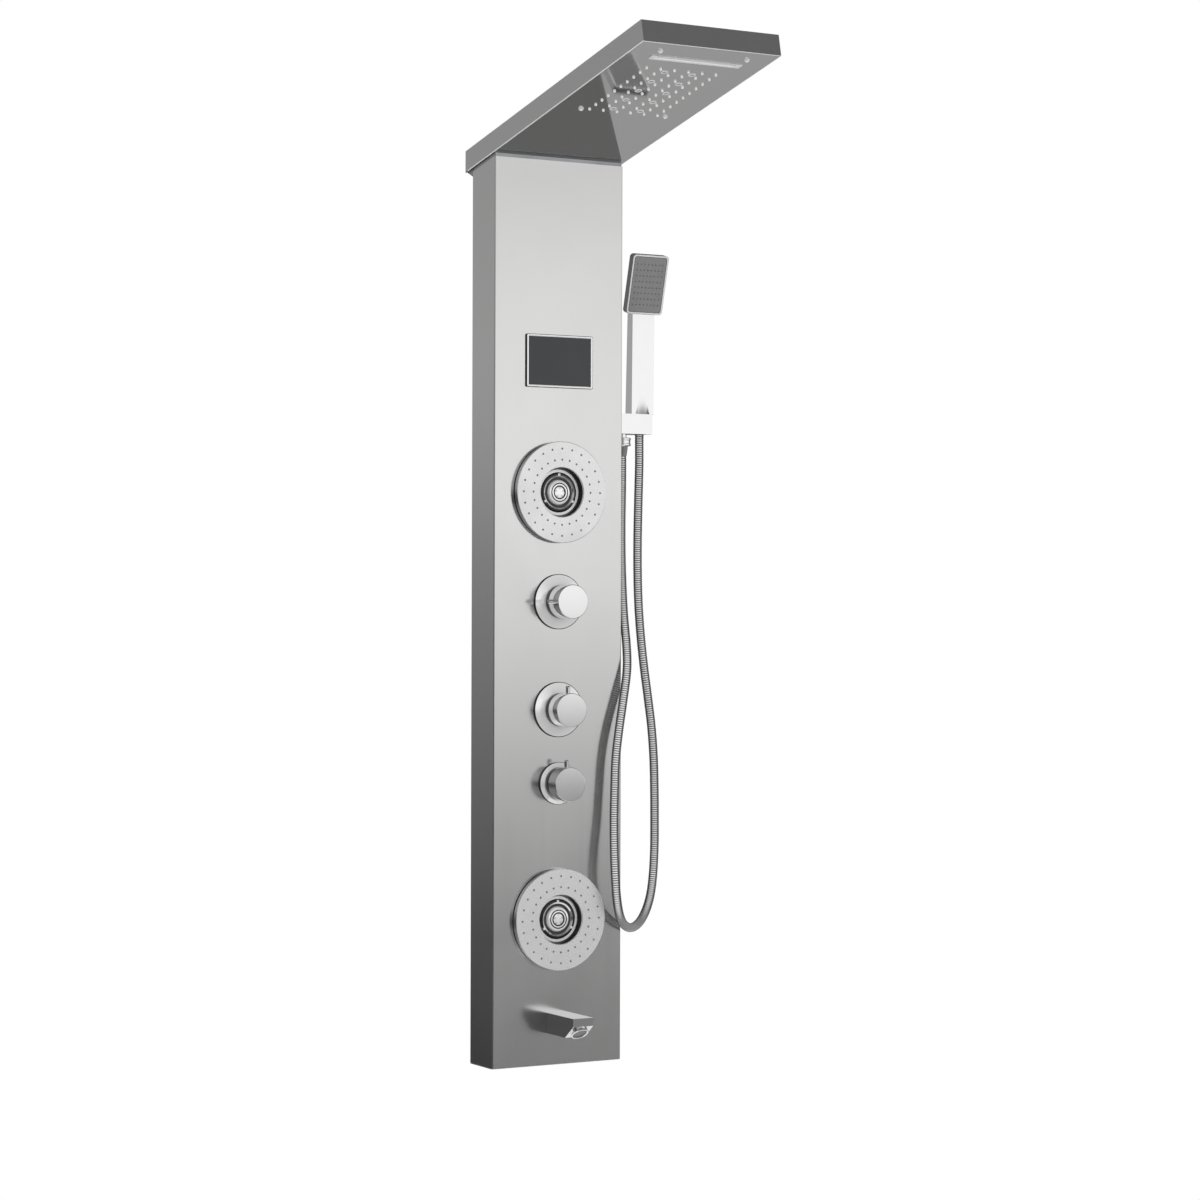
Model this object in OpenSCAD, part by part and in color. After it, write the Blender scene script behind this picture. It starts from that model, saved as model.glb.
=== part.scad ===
// Shower panel column with a tilted rain head, two body jets, three knobs, a bath spout and a hand shower.
// X runs to the viewer's right, Y into the wall and Z up. The origin is on the wall plane,
// at the middle of the four wall screws.

/* [Column] */
// Width of the column
column_w = 194; // [180:1:215]
// Depth of the column, front face to back flange
column_d = 62; // [60:1:80]
// Height of the whole panel, from the column's foot to the top of the head's back edge
total_h = 1210; // [1190:5:1400]
// Gap between the column's back and the wall
wall_gap = 19; // [16:0.5:30]
// Thickness of the stainless sheet
sheet = 1.2; // [0.8:0.1:1.6]
// Outer radius of the column's two front bends
bend_r = 2.6; // [2:0.2:6]
// Width of the flanges turned in along the column's back
flange_w = 16; // [12:1:22]

/* [Head] */
// Length of the head along its slope
head_l = 470; // [455:5:520]
// Width of the head
head_w = 197; // [190:1:225]
// Thickness of the head
head_t = 28; // [26:0.5:40]
// Upward slope of the head, in degrees
head_tilt = 12.3; // [5:0.1:18]
// Shadow gap between the column's top edge and the head
head_gap = 5; // [3:0.5:8]
// Nozzle rows across the head
nozzle_columns = 6; // [2:2:8]
// Nozzle rows along the head
nozzle_rows = 10; // [4:2:10]
// Pitch of the nozzles across the head
nozzle_pitch_x = 20; // [14:0.5:21]
// Pitch of the nozzles along the head
nozzle_pitch_v = 16.1; // [12:0.1:16.9]
// Distance of the first nozzle row from the head's lower back edge
nozzle_first = 255; // [250:1:262]
// Width of the waterfall outlet
fall_w = 124; // [90:1:130]
// Distance of the waterfall outlet from the head's lower back edge
fall_v = 434; // [431:1:440]

/* [Display] */
// Width of the display bezel
display_w = 100; // [80:1:120]
// Height of the display bezel
display_h = 70; // [55:1:90]
// How far the bezel stands off the panel
display_t = 3; // [2.5:0.1:5]
// Distance of the display's middle above the upper jet's
display_rise = 173; // [160:1:190]

/* [Body jets] */
// Radius of a jet's spray disc
disc_r = 67; // [60:0.5:74]
// How far the disc's face stands off the panel
disc_proud = 9.5; // [8:0.5:14]
// Radius of the well in the disc's middle
well_r = 33; // [30:0.5:34]
// Radius of the eyeball nozzle
ball_r = 19; // [16:0.5:20]
// Distance of the upper jet above the diverter knob
upper_jet_rise = 144.5; // [125:0.5:150]
// Height of the lower jet above the foot
lower_jet_height = 192; // [185:1:220]
// Spray holes in each of the disc's two rings
holes_per_ring = 24; // [12:1:24]

/* [Knobs] */
// Radius of a knob
knob_r = 22.5; // [18:0.5:26]
// Radius of the two large escutcheons
escutcheon_r = 36.5; // [30:0.5:38]
// Radius of the small escutcheon
small_escutcheon_r = 28; // [26:0.5:30]
// Thickness of an escutcheon
escutcheon_t = 4.5; // [3:0.5:6]
// Distance of the diverter knob above the hot knob
diverter_rise = 142.5; // [130:0.5:155]
// Height of the hot knob above the foot
hot_height = 469; // [455:0.5:480]
// Distance of the cold knob below the hot knob
cold_drop = 97.5; // [90:0.5:110]
// Reach of the diverter knob's face from the panel
diverter_reach = 40; // [36:0.5:46]
// Reach of the hot knob's face from the panel
hot_reach = 37; // [34:0.5:44]
// Reach of the cold knob's face from the panel
cold_reach = 34; // [32:0.5:42]
// Length of a lever pin beyond its knob
lever_l = 9.5; // [6:0.5:14]

/* [Bath spout] */
// Width of the spout
spout_w = 30; // [28:1:40]
// Reach of the spout from the panel
spout_reach = 70; // [64:1:120]
// Height of the spout's top above the foot
spout_height = 69; // [68:1:80]
// Depth of the spout, top to bottom
spout_h = 27; // [26:1:34]

/* [Hand shower] */
// Distance of the handset's axis from the column's side
handset_out = 44.5; // [44:0.5:52]
// Height of the holder's top above the foot
holder_height = 865; // [852:1:876]
// Height of the holder block
holder_h = 27; // [26:0.5:34]
// Width of the handle
handle_w = 34; // [28:0.5:38]
// Depth of the handle at its foot
handle_d = 17; // [15:0.5:22]
// Width of the spray plate
plate_w = 55.5; // [50:0.5:60]
// Length of the spray plate
plate_l = 80.5; // [70:0.5:90]
// Thickness of the spray plate
plate_t = 10; // [9:0.5:16]
// Forward lean of the spray plate, in degrees
plate_lean = 14.5; // [8:0.5:20]

/* [Hose] */
// Outer diameter of the hose
hose_d = 12; // [10:0.5:12.5]
// Bore of the hose
hose_bore = 8; // [6:0.5:8.5]
// Depth of the grooves between the hose's ribs
rib_depth = 0.7; // [0.4:0.1:1]
// Ribs along the hose
hose_ribs = 160; // [40:10:200]

/* [Wall fixing] */
// Distance between the two screws of a wall bracket
screw_span_x = 110; // [80:5:120]
// Height of the lower wall bracket's screws above the foot
lower_screw_height = 130; // [118:1:134]
// Height of the upper wall bracket's screws above the foot
upper_screw_height = 1070; // [1000:5:1100]
// Radius of the wall screw holes
wall_hole_r = 3; // [2:0.25:3.5]

/* [Hidden] */
$fn = 48;
overrun = 1; // how far every cut runs past its faces
fit_gap = 0.3; // clearance of a loose fit, and between moving faces
press_gap = 0.02; // radial clearance of a pressed or clamped fit
run_gap = 0.05; // radial clearance of a running fit

// The heights on the column keep their share of the panel's height
drawn_h = 1210; // the panel's height at which they hold as given
height_share = total_h / drawn_h;
hot_z = hot_height * height_share;
cold_z = hot_z - cold_drop * height_share;
diverter_z = hot_z + diverter_rise * height_share;
upper_jet_z = diverter_z + upper_jet_rise * height_share;
display_z = upper_jet_z + display_rise * height_share;
lower_jet_z = lower_jet_height * height_share;
spout_top = spout_height * height_share;
holder_top = holder_height * height_share;
lower_screw_z = lower_screw_height * height_share;
upper_screw_z = upper_screw_height * height_share;

// places that follow from the sizes above
front_y = -(column_d + wall_gap);
back_y = -wall_gap;
side_x = column_w / 2;
inner_x = side_x - sheet;
inner_y = front_y + sheet;
head_tan = tan(head_tilt);
head_foot_z = total_h - head_t / cos(head_tilt); // the head's lower back edge
column_h = head_foot_z + (column_d + wall_gap) * head_tan - head_gap;
mount_z = (lower_screw_z + upper_screw_z) / 2;
cap_seam = 0.3;
cap_upstand = 10;
rail_t = 2;
rail_h = 24;
rail_y = back_y - sheet; // the flanges' inner face, where the rails seat
bracket_w = 150;
bracket_t = 2;
bracket_top_share = 0.6;
hook_h = 8;

// head
plate_gap = 0.2;
nozzle_r = 2.1;
nozzle_tip = 3.4;
nozzle_tip_share = 0.8;
nozzle_flange_r = 3.4;
nozzle_flange_t = 1;
led_bezel_r = 5.2;
led_lens_r = 3.4;
led_proud = 1.2;
led_body_h = 5;
chamber_w = 140;
chamber_h = 18;
chamber_wall = 2;
chamber_margin = 10;
fall_chamber_w = 132;
fall_chamber_l = 32;
lip_l = 13;
lip_t = 1.6;
lip_margin = 3;
strip_l = 7;
strip_t = 2.4;
dome_r = 3.6;
dome_stud_r = 2;
dome_side_in = 4; // how far the dome nuts lie inside the waterfall chamber's sides
dome_x = fall_chamber_w / 2 - dome_side_in;
dome_back_in = 1; // how far the back dome nuts lie before the first nozzle row
dome_front_out = 20; // how far the front ones lie beyond the outlet
gusset_drop = 8.5;
gusset_in = 2;
bracket_plate_t = 2;
bracket_drop = 40;

// display
window_margin = 3;
glass_t = 2;
module_margin = 7;
module_d = 18;
bezel_r = 2;

// body jets, measured outwards from the panel's face
disc_t = 4;
disc_skirt_t = 1.5;
disc_shadow = 2;
base_in = 8;
base_r = disc_r - base_in;
well_floor = -1.5;
ring_t = 2.5;
ring_front = well_floor + ring_t;
ring_r = 25;
ball_sunk = 10;
ball_n = ring_front - ball_sunk;
liner_t = 2.7;
liner_r = ball_r + fit_gap + liner_t;
socket_r = liner_r + fit_gap;
liner_half = 8.5;
ball_flat = 12;
ball_bore = 6;
insert_r = 10.5;
insert_t = 3;
insert_hole_r = 1.4;
insert_hole_ring = 5.6;
insert_holes = 5;
grip_r = 1.3;
spigot_wall = 3;
spigot_r = well_r + spigot_wall;
spigot_back = 34;
jet_nipple_r = 10;
jet_nipple_l = 10;
jet_nut_t = 6;
jet_nut_wall = 8;
outer_ring_in = 9.5;
outer_ring_r = disc_r - outer_ring_in;
inner_ring_out = 10;
inner_ring_r = well_r + inner_ring_out;
spray_r = 1.6;
tip_proud = 0.4;

// knobs and valves, measured outwards from the panel's face
neck_r = 13;
neck_l = 9;
neck_bore = 8.6;
boss_r = 16;
boss_back = 40;
cartridge_back = 20;
spindle_r = 5;
spindle_shoulder = 8;
knob_wall = 3.5;
knob_foot = 1.2;
escutcheon_rim_share = 0.5;
knob_cap = 8;
lever_r = 3;
lever_tip_share = 0.6;
lever_back = 8;
lever_sunk = 4;
body_n = 35; // depth of the waterways behind the face
mixer_r = 14;
inlet_r = 10.48; // G1/2 thread, over its crests
inlet_x = 50;
inlet_reach = 24.5; // from the arm's axis towards the wall
inlet_thread_l = 14;
inlet_neck_r = 9.4;
inlet_arm_r = 7.5;
inlet_bore = 6.5;
arm_r = 9;
drum_r = 25;
drum_t = 24;
port_r = 5;
port_reach = 36;
port_step = 16;

// spout
spout_nose = 10.6;
spout_slant_share = 0.69;
spout_thread_r = 10.48;
spout_thread_l = 25;
spout_bore = 7;
spout_nut_r = 16;
spout_nut_t = 8;
aerator_r = 12;
aerator_in = 9.4;
aerator_proud = 4;
aerator_sunk = 7;
mesh_t = 1.4;
mesh_back = 1.2;

// hand shower
handset_x = side_x + handset_out;
handset_y = back_y - column_d / 2;
outlet_out = 17.5;
outlet_x = side_x + outlet_out;
holder_front = 14.5;
holder_back = 15;
holder_end = 12;
seat_top_r = 12.5;
seat_foot_r = 10.4;
nut_thread_r = 10.45;
nut_thread_l = 12;
hose_slot = 15;
side_spigot_l = 10;
side_spigot_r = 10.4;
holder_bore = 5;
outlet_neck_r = 6;
outlet_neck_l = 5;
end_nut_r = 12;
end_nut_l = 11;
end_cone_r = 8;
end_cone_l = 14;
holder_nut_r = 15;
holder_nut_t = 7;
handle_top_d = 13.5;
handle_lean = 2;
scoop_h = 23;
scoop_half = 11.3;
scoop_depth = 2.5;
handle_bore = 4.4;
plate_round = 5;
plate_rim = 2.8;
face_t = 2;
spray_gap = 3;
handle_l = 135; // from the holder's top to the spray plate's foot
plate_foot_z = holder_top + handle_l;
plate_foot_y = 11.5;
tip_grid = 8;
tip_pitch_x = 5.6;
tip_pitch_z = 7.8;
tip_r = 0.9;
tip_out = 0.6;

// water hoses inside the panel
water_r = 6;
water_bore = 4;
knee_r = 7.6;
near_x = 60;
far_x = 78;
head_side_x = 84;
pipe_w = 10.5; // height of the pipes' axes above the head's underside

// The free hose's centre line, from the outlet's cone to the handset's nut: X from the column's side,
// Y from the handset's axis and Z from the holder's foot
hose_drop = outlet_neck_l + end_nut_l + end_cone_l + plate_gap;
hose_drawn = [
    [outlet_out, 0, -hose_drop], [outlet_out, 0, -47], [17, -0.5, -77], [15.5, -2, -121.5],
    [13.5, -6, -163], [11.5, -12, -204.5], [9.5, -20, -245], [8, -30, -285.5], [4, -38, -318],
    [-5, -44, -357], [-14, -48.5, -396.5], [-20, -50.5, -434.5], [-22.5, -52, -475],
    [-24.5, -54, -517], [-26.5, -58.5, -557.5], [-26.5, -61.5, -593], [-23, -59.5, -620],
    [-16, -54, -641], [-6, -46, -654], [7.5, -37.5, -661.5], [22.5, -28, -662], [37.5, -19, -655.5],
    [51.5, -10.5, -641.5], [62, -4, -621.5], [68.5, 0.5, -594.5], [71, 1.5, -560.5],
    [70, -0.5, -521.5], [67.5, -4, -479], [64, -7.5, -436.5], [59.5, -9, -394.5], [53.5, -9, -353],
    [48, -7.5, -311], [44, -5.5, -268.5], [41.5, -4, -226], [41, -2.5, -183.5], [41.5, -1.5, -140],
    [43, -0.5, -92], [handset_out, 0, -43], [handset_out, 0, -17], [handset_out, 0, 0]];
hose_route = [for (p = hose_drawn) p + [side_x, handset_y, holder_top - holder_h]];
hose_sides = 8;
rib_crest_share = 0.25;
hose_bore_rings = 80;

// Puts the foot of the column at its place below the wall screws
module place() {
    translate([0, 0, -mount_z]) children();
}

// Local Z points out of the panel's face, local Y up
module on_front(z, x = 0) {
    translate([x, front_y, z]) rotate([90, 0, 0]) children();
}

// Local -Y runs forward up the head's slope, local Z away from its underside
module on_head(x = 0, v = 0, w = 0) {
    translate([0, 0, head_foot_z]) rotate([-head_tilt, 0, 0]) translate([x, -v, w]) children();
}

// The same place as a point
function head_point(x, v, w) = [x, w * sin(head_tilt) - v * cos(head_tilt),
    head_foot_z + v * sin(head_tilt) + w * cos(head_tilt)];

// A side outline in Y and Z, run along X about the middle
module across(width) {
    rotate([90, 0, 90]) linear_extrude(width, center = true) children();
}

// A round rod from a to b
module rod(a, b, r) {
    way = b - a;
    translate(a)
        rotate([0, acos(way.z / norm(way)), atan2(way.y, way.x)])
            cylinder(h = norm(way), r = r);
}

// A pipe along points, with a knee at each inner one
module pipe_run(points, r, knee) {
    for (i = [0:len(points) - 2]) rod(points[i], points[i + 1], r);
    for (i = [1:1:len(points) - 2]) translate(points[i]) sphere(knee);
}

// A ring with square edges
module ring(h, outer, inner) {
    difference() {
        cylinder(h = h, r = outer);
        translate([0, 0, -overrun]) cylinder(h = h + 2 * overrun, r = inner);
    }
}

// A box about X and Y, standing on Z, with round upright corners
module round_box(size, r) {
    translate([-size.x / 2, -size.y / 2 + r, 0]) cube([size.x, size.y - 2 * r, size.z]);
    translate([-size.x / 2 + r, -size.y / 2, 0]) cube([size.x - 2 * r, size.y, size.z]);
    for (x = [-1, 1], y = [-1, 1])
        translate([x * (size.x / 2 - r), y * (size.y / 2 - r), 0]) cylinder(h = size.z, r = r);
}

// The column's solid outline with its two front bends
module column_block(inset, h, foot) {
    w = column_w - 2 * inset;
    r = bend_r - inset;
    front = front_y + inset;
    translate([-w / 2, front + r, foot]) cube([w, back_y - front - r, h]);
    translate([-w / 2 + r, front, foot]) cube([w - 2 * r, r + overrun, h]);
    for (x = [-1, 1]) translate([x * (w / 2 - r), front + r, foot]) cylinder(h = h, r = r);
}

// The space inside the column's sheet, from the front to the inner face of the flanges
module column_room(foot, h) {
    intersection() {
        column_block(sheet, h, foot);
        translate([-side_x, front_y, foot]) cube([column_w, column_d - sheet, h]);
    }
}

// All that lies above a plane parallel to the head's underside
module above_head_line(drop) {
    reach = 2 * (column_d + wall_gap);
    across(2 * column_w)
        polygon([[reach, head_foot_z - reach * head_tan - drop],
            [-reach, head_foot_z + reach * head_tan - drop],
            [-reach, total_h + reach], [reach, total_h + reach]]);
}

module column_shell() {
    color("silver") place() difference() {
        foot = sheet + cap_seam;
        column_block(0, total_h - foot, foot);
        difference() {
            column_block(sheet, total_h, 0);
            for (x = [-1, 1])
                translate([x * (side_x - flange_w / 2), back_y - sheet / 2, total_h / 2])
                    cube([flange_w, sheet, 2 * total_h], center = true);
        }
        translate([-side_x + flange_w, back_y - 2 * sheet, 0])
            cube([column_w - 2 * flange_w, 2 * sheet + overrun, total_h]);
        above_head_line(head_gap);
        for (z = [upper_jet_z, lower_jet_z]) front_hole(z, spigot_r + fit_gap);
        for (z = [diverter_z, hot_z, cold_z]) front_hole(z, neck_r + fit_gap);
        front_hole(spout_top - spout_h / 2, spout_thread_r + fit_gap);
        on_front(display_z) translate([0, 0, -sheet / 2])
            cube([module_w() + 2 * fit_gap, module_h() + 2 * fit_gap, sheet + 2 * overrun], center = true);
        translate([inner_x - overrun, handset_y, holder_top - holder_h / 2]) rotate([0, 90, 0])
            cylinder(h = sheet + 2 * overrun, r = side_spigot_r + fit_gap);
    }
}

module front_hole(z, r) {
    on_front(z) translate([0, 0, -sheet - overrun]) cylinder(h = sheet + 2 * overrun, r = r);
}

module column_bottom_cap() {
    color("silver") place() {
        column_block(0, sheet, 0);
        difference() {
            column_room(sheet, cap_upstand);
            translate([-inner_x + sheet, inner_y + sheet, sheet - overrun])
                cube([2 * (inner_x - sheet), column_d, cap_upstand + 2 * overrun]);
        }
    }
}

// Folded bracket in the column's mouth, which carries the head
module head_bracket() {
    top_v = -rail_y / cos(head_tilt);
    front_v = -inner_y / cos(head_tilt);
    color("gainsboro") place() difference() {
        intersection() {
            union() {
                on_head(-inner_x, front_v, -bracket_plate_t)
                    cube([2 * inner_x, front_v - top_v, bracket_plate_t]);
                for (x = [-inner_x, inner_x - bracket_plate_t])
                    translate([x, inner_y, column_h - bracket_drop])
                        cube([bracket_plate_t, column_d - 2 * sheet, 2 * bracket_drop]);
                translate([-inner_x, inner_y, column_h - bracket_drop])
                    cube([2 * inner_x, bracket_plate_t, 2 * bracket_drop]);
            }
            difference() {
                column_room(0, total_h);
                above_head_line(0);
            }
        }
        riser_holes();
    }
}

// Clearance for the two risers that go up into the head
module riser_holes() {
    for (x = [-near_x, near_x])
        translate([x, water_y(), column_h - bracket_drop])
            cylinder(h = 2 * bracket_drop, r = knee_r + fit_gap);
}

module head_gusset() {
    w = column_w - 2 * gusset_in;
    slope = [[0, head_foot_z], [back_y, head_foot_z - gusset_drop]];
    color("gainsboro") place() {
        across(w) polygon([slope[0], slope[1], slope[1] + [0, sheet], slope[0] + [-sheet, 0]]);
        for (x = [-1, 1]) translate([x * (w - sheet) / 2, 0, 0]) across(sheet)
            polygon([slope[0], slope[1], [back_y, head_foot_z - back_y * head_tan]]);
    }
}

// A rail inside the column's back flanges, which hangs on its wall bracket
module rail(z) {
    place() translate([-inner_x, rail_y - rail_t, z - rail_h / 2]) cube([2 * inner_x, rail_t, rail_h]);
}

module upper_rail() { color("darkgray") rail(upper_screw_z); }
module lower_rail() { color("darkgray") rail(lower_screw_z); }

module wall_bracket(z) {
    shelf = z - rail_h / 2;
    lip = rail_y - rail_t - plate_gap;
    place() difference() {
        across(bracket_w) polygon([
            [0, z + rail_h * bracket_top_share], [-bracket_t, z + rail_h * bracket_top_share],
            [-bracket_t, shelf], [lip, shelf], [lip, shelf + hook_h], [lip - bracket_t, shelf + hook_h],
            [lip - bracket_t, shelf - bracket_t], [0, shelf - bracket_t]]);
        for (x = [-1, 1]) translate([x * screw_span_x / 2, overrun, z]) rotate([90, 0, 0])
            cylinder(h = bracket_t + 2 * overrun, r = wall_hole_r);
    }
}

module upper_wall_bracket() { color("darkgray") wall_bracket(upper_screw_z); }
module lower_wall_bracket() { color("darkgray") wall_bracket(lower_screw_z); }

// The head's front end, measured from its lower back edge
head_front = head_l + head_t * head_tan;

// The head's side outline in its own slope: the back end stands upright, flush with the wall
function head_outline(inset, foot) = [
    [-(head_t - inset) * head_tan - inset / cos(head_tilt), head_t - inset],
    [-head_front + inset, head_t - inset], [-head_front + inset, -foot],
    [foot * head_tan - inset / cos(head_tilt), -foot]];

module head_shell() {
    color("silver") place() on_head() difference() {
        across(head_w) polygon(head_outline(0, 0));
        across(head_w - 2 * sheet) polygon(head_outline(sheet, overrun));
    }
}

// Back and front limits of the plate that closes the head from below
plate_back = sheet / cos(head_tilt) + sheet * head_tan + plate_gap;
plate_front = head_front - sheet - plate_gap;
function nozzle_x(i) = (i - (nozzle_columns - 1) / 2) * nozzle_pitch_x;
function nozzle_v(j) = nozzle_first + j * nozzle_pitch_v;
nozzle_places = [for (i = [0:nozzle_columns - 1], j = [0:nozzle_rows - 1]) [nozzle_x(i), nozzle_v(j)]];
led_places = [for (x = [-nozzle_pitch_x, nozzle_pitch_x], j = [0:2:nozzle_rows - 1])
    [x, nozzle_v(j) + nozzle_pitch_v / 2]];
dome_places = [for (x = [-dome_x, dome_x], v = [nozzle_first - dome_back_in, fall_v + dome_front_out])
    [x, v]];

module head_plate() {
    inner_w = head_w - 2 * (sheet + plate_gap);
    color("silver") place() difference() {
        on_head() translate([-inner_w / 2, -plate_front, 0])
            cube([inner_w, plate_front - plate_back, sheet]);
        on_head() {
            for (p = nozzle_places) plate_hole(p, nozzle_r + plate_gap);
            for (p = led_places) plate_hole(p, led_lens_r + plate_gap);
            for (p = dome_places) plate_hole(p, dome_stud_r + plate_gap);
            translate([-fall_w / 2, -fall_v - strip_l / 2, -overrun])
                cube([fall_w, strip_l, sheet + 2 * overrun]);
        }
        riser_holes();
    }
}

module plate_hole(p, r) {
    translate([p.x, -p.y, -overrun]) cylinder(h = sheet + 2 * overrun, r = r);
}

// Water box over the rain nozzles
module rain_chamber() {
    first = nozzle_first - chamber_margin;
    last = nozzle_v(nozzle_rows - 1) + chamber_margin;
    color("dimgray") place() on_head() difference() {
        translate([-chamber_w / 2, -last, sheet]) cube([chamber_w, last - first, chamber_h]);
        translate([-chamber_w / 2 + chamber_wall, -last + chamber_wall, sheet - overrun])
            cube([chamber_w - 2 * chamber_wall, last - first - 2 * chamber_wall,
                chamber_h - chamber_wall + overrun]);
        for (x = [-dome_x, dome_x]) translate([x, dome_back_in - nozzle_first, 0])
            cylinder(h = head_t, r = dome_stud_r + plate_gap);
        translate([near_x, -first + overrun, pipe_w]) rotate([90, 0, 0])
            cylinder(h = chamber_wall + 2 * overrun, r = water_r - 2 * plate_gap);
    }
}

module rain_nozzles() {
    color("white") place() on_head() for (p = nozzle_places) translate([p.x, -p.y, 0])
        rotate_extrude($fn = 24) polygon([
            [nozzle_r / 3, -nozzle_tip], [nozzle_r * nozzle_tip_share, -nozzle_tip],
            [nozzle_r, -nozzle_tip / 3], [nozzle_r, sheet], [nozzle_flange_r, sheet],
            [nozzle_flange_r, sheet + nozzle_flange_t], [nozzle_r / 3, sheet + nozzle_flange_t]]);
}

module led_bezels() {
    color("gainsboro") place() on_head() for (p = led_places) translate([p.x, -p.y, -led_proud])
        ring(led_proud, led_bezel_r, led_lens_r + plate_gap);
}

module led_lenses() {
    color("lightcyan") place() on_head() for (p = led_places) translate([p.x, -p.y, 0]) {
        translate([0, 0, -led_proud / 2]) cylinder(h = led_proud / 2 + sheet, r = led_lens_r);
        translate([0, 0, sheet]) cylinder(h = led_body_h, r = led_lens_r + plate_gap);
    }
}

// Water box behind the waterfall's outlet
module waterfall_chamber() {
    color("dimgray") place() on_head() translate([0, -fall_v, 0]) difference() {
        translate([-fall_chamber_w / 2, -fall_chamber_l / 2, sheet])
            cube([fall_chamber_w, fall_chamber_l, chamber_h]);
        translate([-fall_chamber_w / 2 + chamber_wall, -fall_chamber_l / 2 + chamber_wall, sheet - overrun])
            cube([fall_chamber_w - 2 * chamber_wall, fall_chamber_l - 2 * chamber_wall,
                chamber_h - chamber_wall + overrun]);
        translate([-fall_chamber_w / 2 - overrun, 0, pipe_w]) rotate([0, 90, 0])
            cylinder(h = chamber_wall + 2 * overrun, r = water_r - 2 * plate_gap);
    }
}

// Bright frame of the waterfall's outlet
module waterfall_lip() {
    color("gainsboro") place() on_head() translate([0, -fall_v, -lip_t]) difference() {
        translate([-fall_w / 2 - lip_margin, -lip_l / 2, 0]) cube([fall_w + 2 * lip_margin, lip_l, lip_t]);
        translate([-fall_w / 2, -strip_l / 2, -overrun]) cube([fall_w, strip_l, lip_t + 2 * overrun]);
    }
}

// Light strip in the outlet, with the water slot in front of it
module waterfall_strip() {
    back = strip_l / 2 - plate_gap;
    color("white") place() on_head() translate([0, -fall_v, -lip_t / 2])
        translate([-fall_w / 2 + plate_gap, back - strip_l / 2, 0])
            cube([fall_w - 2 * plate_gap, strip_l / 2, strip_t]);
}

module head_dome_nuts() {
    color("gainsboro") place() on_head() for (p = dome_places) translate([p.x, -p.y, 0]) {
        difference() {
            sphere(dome_r);
            translate([-dome_r, -dome_r, 0]) cube(2 * dome_r);
        }
        cylinder(h = head_t - sheet - fit_gap, r = dome_stud_r);
    }
}

// display
function window_w() = display_w - 2 * window_margin;
function window_h() = display_h - 2 * window_margin;
function module_w() = window_w() - module_margin;
function module_h() = window_h() - module_margin;

module display_bezel() {
    color("gainsboro") place() on_front(display_z) difference() {
        round_box([display_w, display_h, display_t], bezel_r);
        translate([-window_w() / 2, -window_h() / 2, -overrun])
            cube([window_w(), window_h(), display_t + 2 * overrun]);
    }
}

module display_glass() {
    color("#303336") place() on_front(display_z)
        translate([-window_w() / 2 + plate_gap, -window_h() / 2 + plate_gap, 0])
            cube([window_w() - 2 * plate_gap, window_h() - 2 * plate_gap, glass_t]);
}

module display_module() {
    color("#202020") place() on_front(display_z)
        translate([-module_w() / 2, -module_h() / 2, -module_d]) cube([module_w(), module_h(), module_d]);
}

// Fixed cup of a body jet: its base on the panel, the well and the socket behind it
module jet_cup(z) {
    base_front = disc_proud - disc_t;
    place() on_front(z) difference() {
        union() {
            cylinder(h = base_front, r = base_r);
            translate([0, 0, -spigot_back]) cylinder(h = spigot_back + overrun, r = spigot_r);
            translate([0, 0, -spigot_back - jet_nipple_l])
                cylinder(h = jet_nipple_l + overrun, r = jet_nipple_r);
        }
        translate([0, 0, well_floor]) cylinder(h = base_front - well_floor + overrun, r = well_r);
        translate([0, 0, ball_n]) {
            sphere(socket_r, $fn = 64);
            cylinder(h = well_floor - ball_n + overrun, r = socket_r);
        }
        translate([0, 0, -spigot_back - jet_nipple_l - overrun])
            cylinder(h = spigot_back + jet_nipple_l + ball_n + overrun, r = ball_bore);
    }
}

module jet_disc(z) {
    place() on_front(z) difference() {
        union() {
            translate([0, 0, disc_proud - disc_t]) cylinder(h = disc_t - overrun, r = disc_r);
            translate([0, 0, disc_proud - overrun])
                cylinder(h = overrun, r1 = disc_r, r2 = disc_r - overrun);
            translate([0, 0, disc_shadow])
                ring(disc_proud - disc_t - disc_shadow + overrun, disc_r, disc_r - disc_skirt_t);
        }
        cylinder(h = 2 * disc_proud, r = well_r);
        spray_places() translate([0, 0, disc_proud - disc_t - overrun])
            cylinder(h = disc_t + 2 * overrun, r = spray_r, $fn = 24);
    }
}

// Two rings of spray holes
module spray_places() {
    for (i = [0:holes_per_ring - 1], r = [outer_ring_r, inner_ring_r])
        rotate([0, 0, i * 360 / holes_per_ring]) translate([r, 0, 0]) children();
}

module jet_tips(z) {
    base_front = disc_proud - disc_t;
    place() on_front(z) spray_places() translate([0, 0, base_front]) {
        cylinder(h = disc_t, r = spray_r - plate_gap, $fn = 24);
        translate([0, 0, disc_t])
            cylinder(h = tip_proud, r1 = spray_r - plate_gap, r2 = spray_r / 2, $fn = 24);
    }
}

// Ring that keeps the liner and the ball in the cup, with three grips
module jet_ring(z) {
    place() on_front(z) difference() {
        union() {
            translate([0, 0, well_floor]) cylinder(h = ring_t, r = ring_r);
            for (a = [90, 210, 330]) rotate([0, 0, a]) translate([(ring_r + liner_r) / 2, 0, ring_front])
                sphere(grip_r, $fn = 24);
        }
        translate([0, 0, ball_n]) sphere(socket_r, $fn = 64);
    }
}

// Ball-seat liner, which swings left and right in the cup
module jet_liner(z) {
    place() on_front(z) translate([0, 0, ball_n]) intersection() {
        difference() {
            sphere(liner_r, $fn = 64);
            sphere(ball_r + fit_gap, $fn = 64);
        }
        cylinder(h = 2 * liner_half, r = 2 * liner_r, center = true);
    }
}

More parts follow.
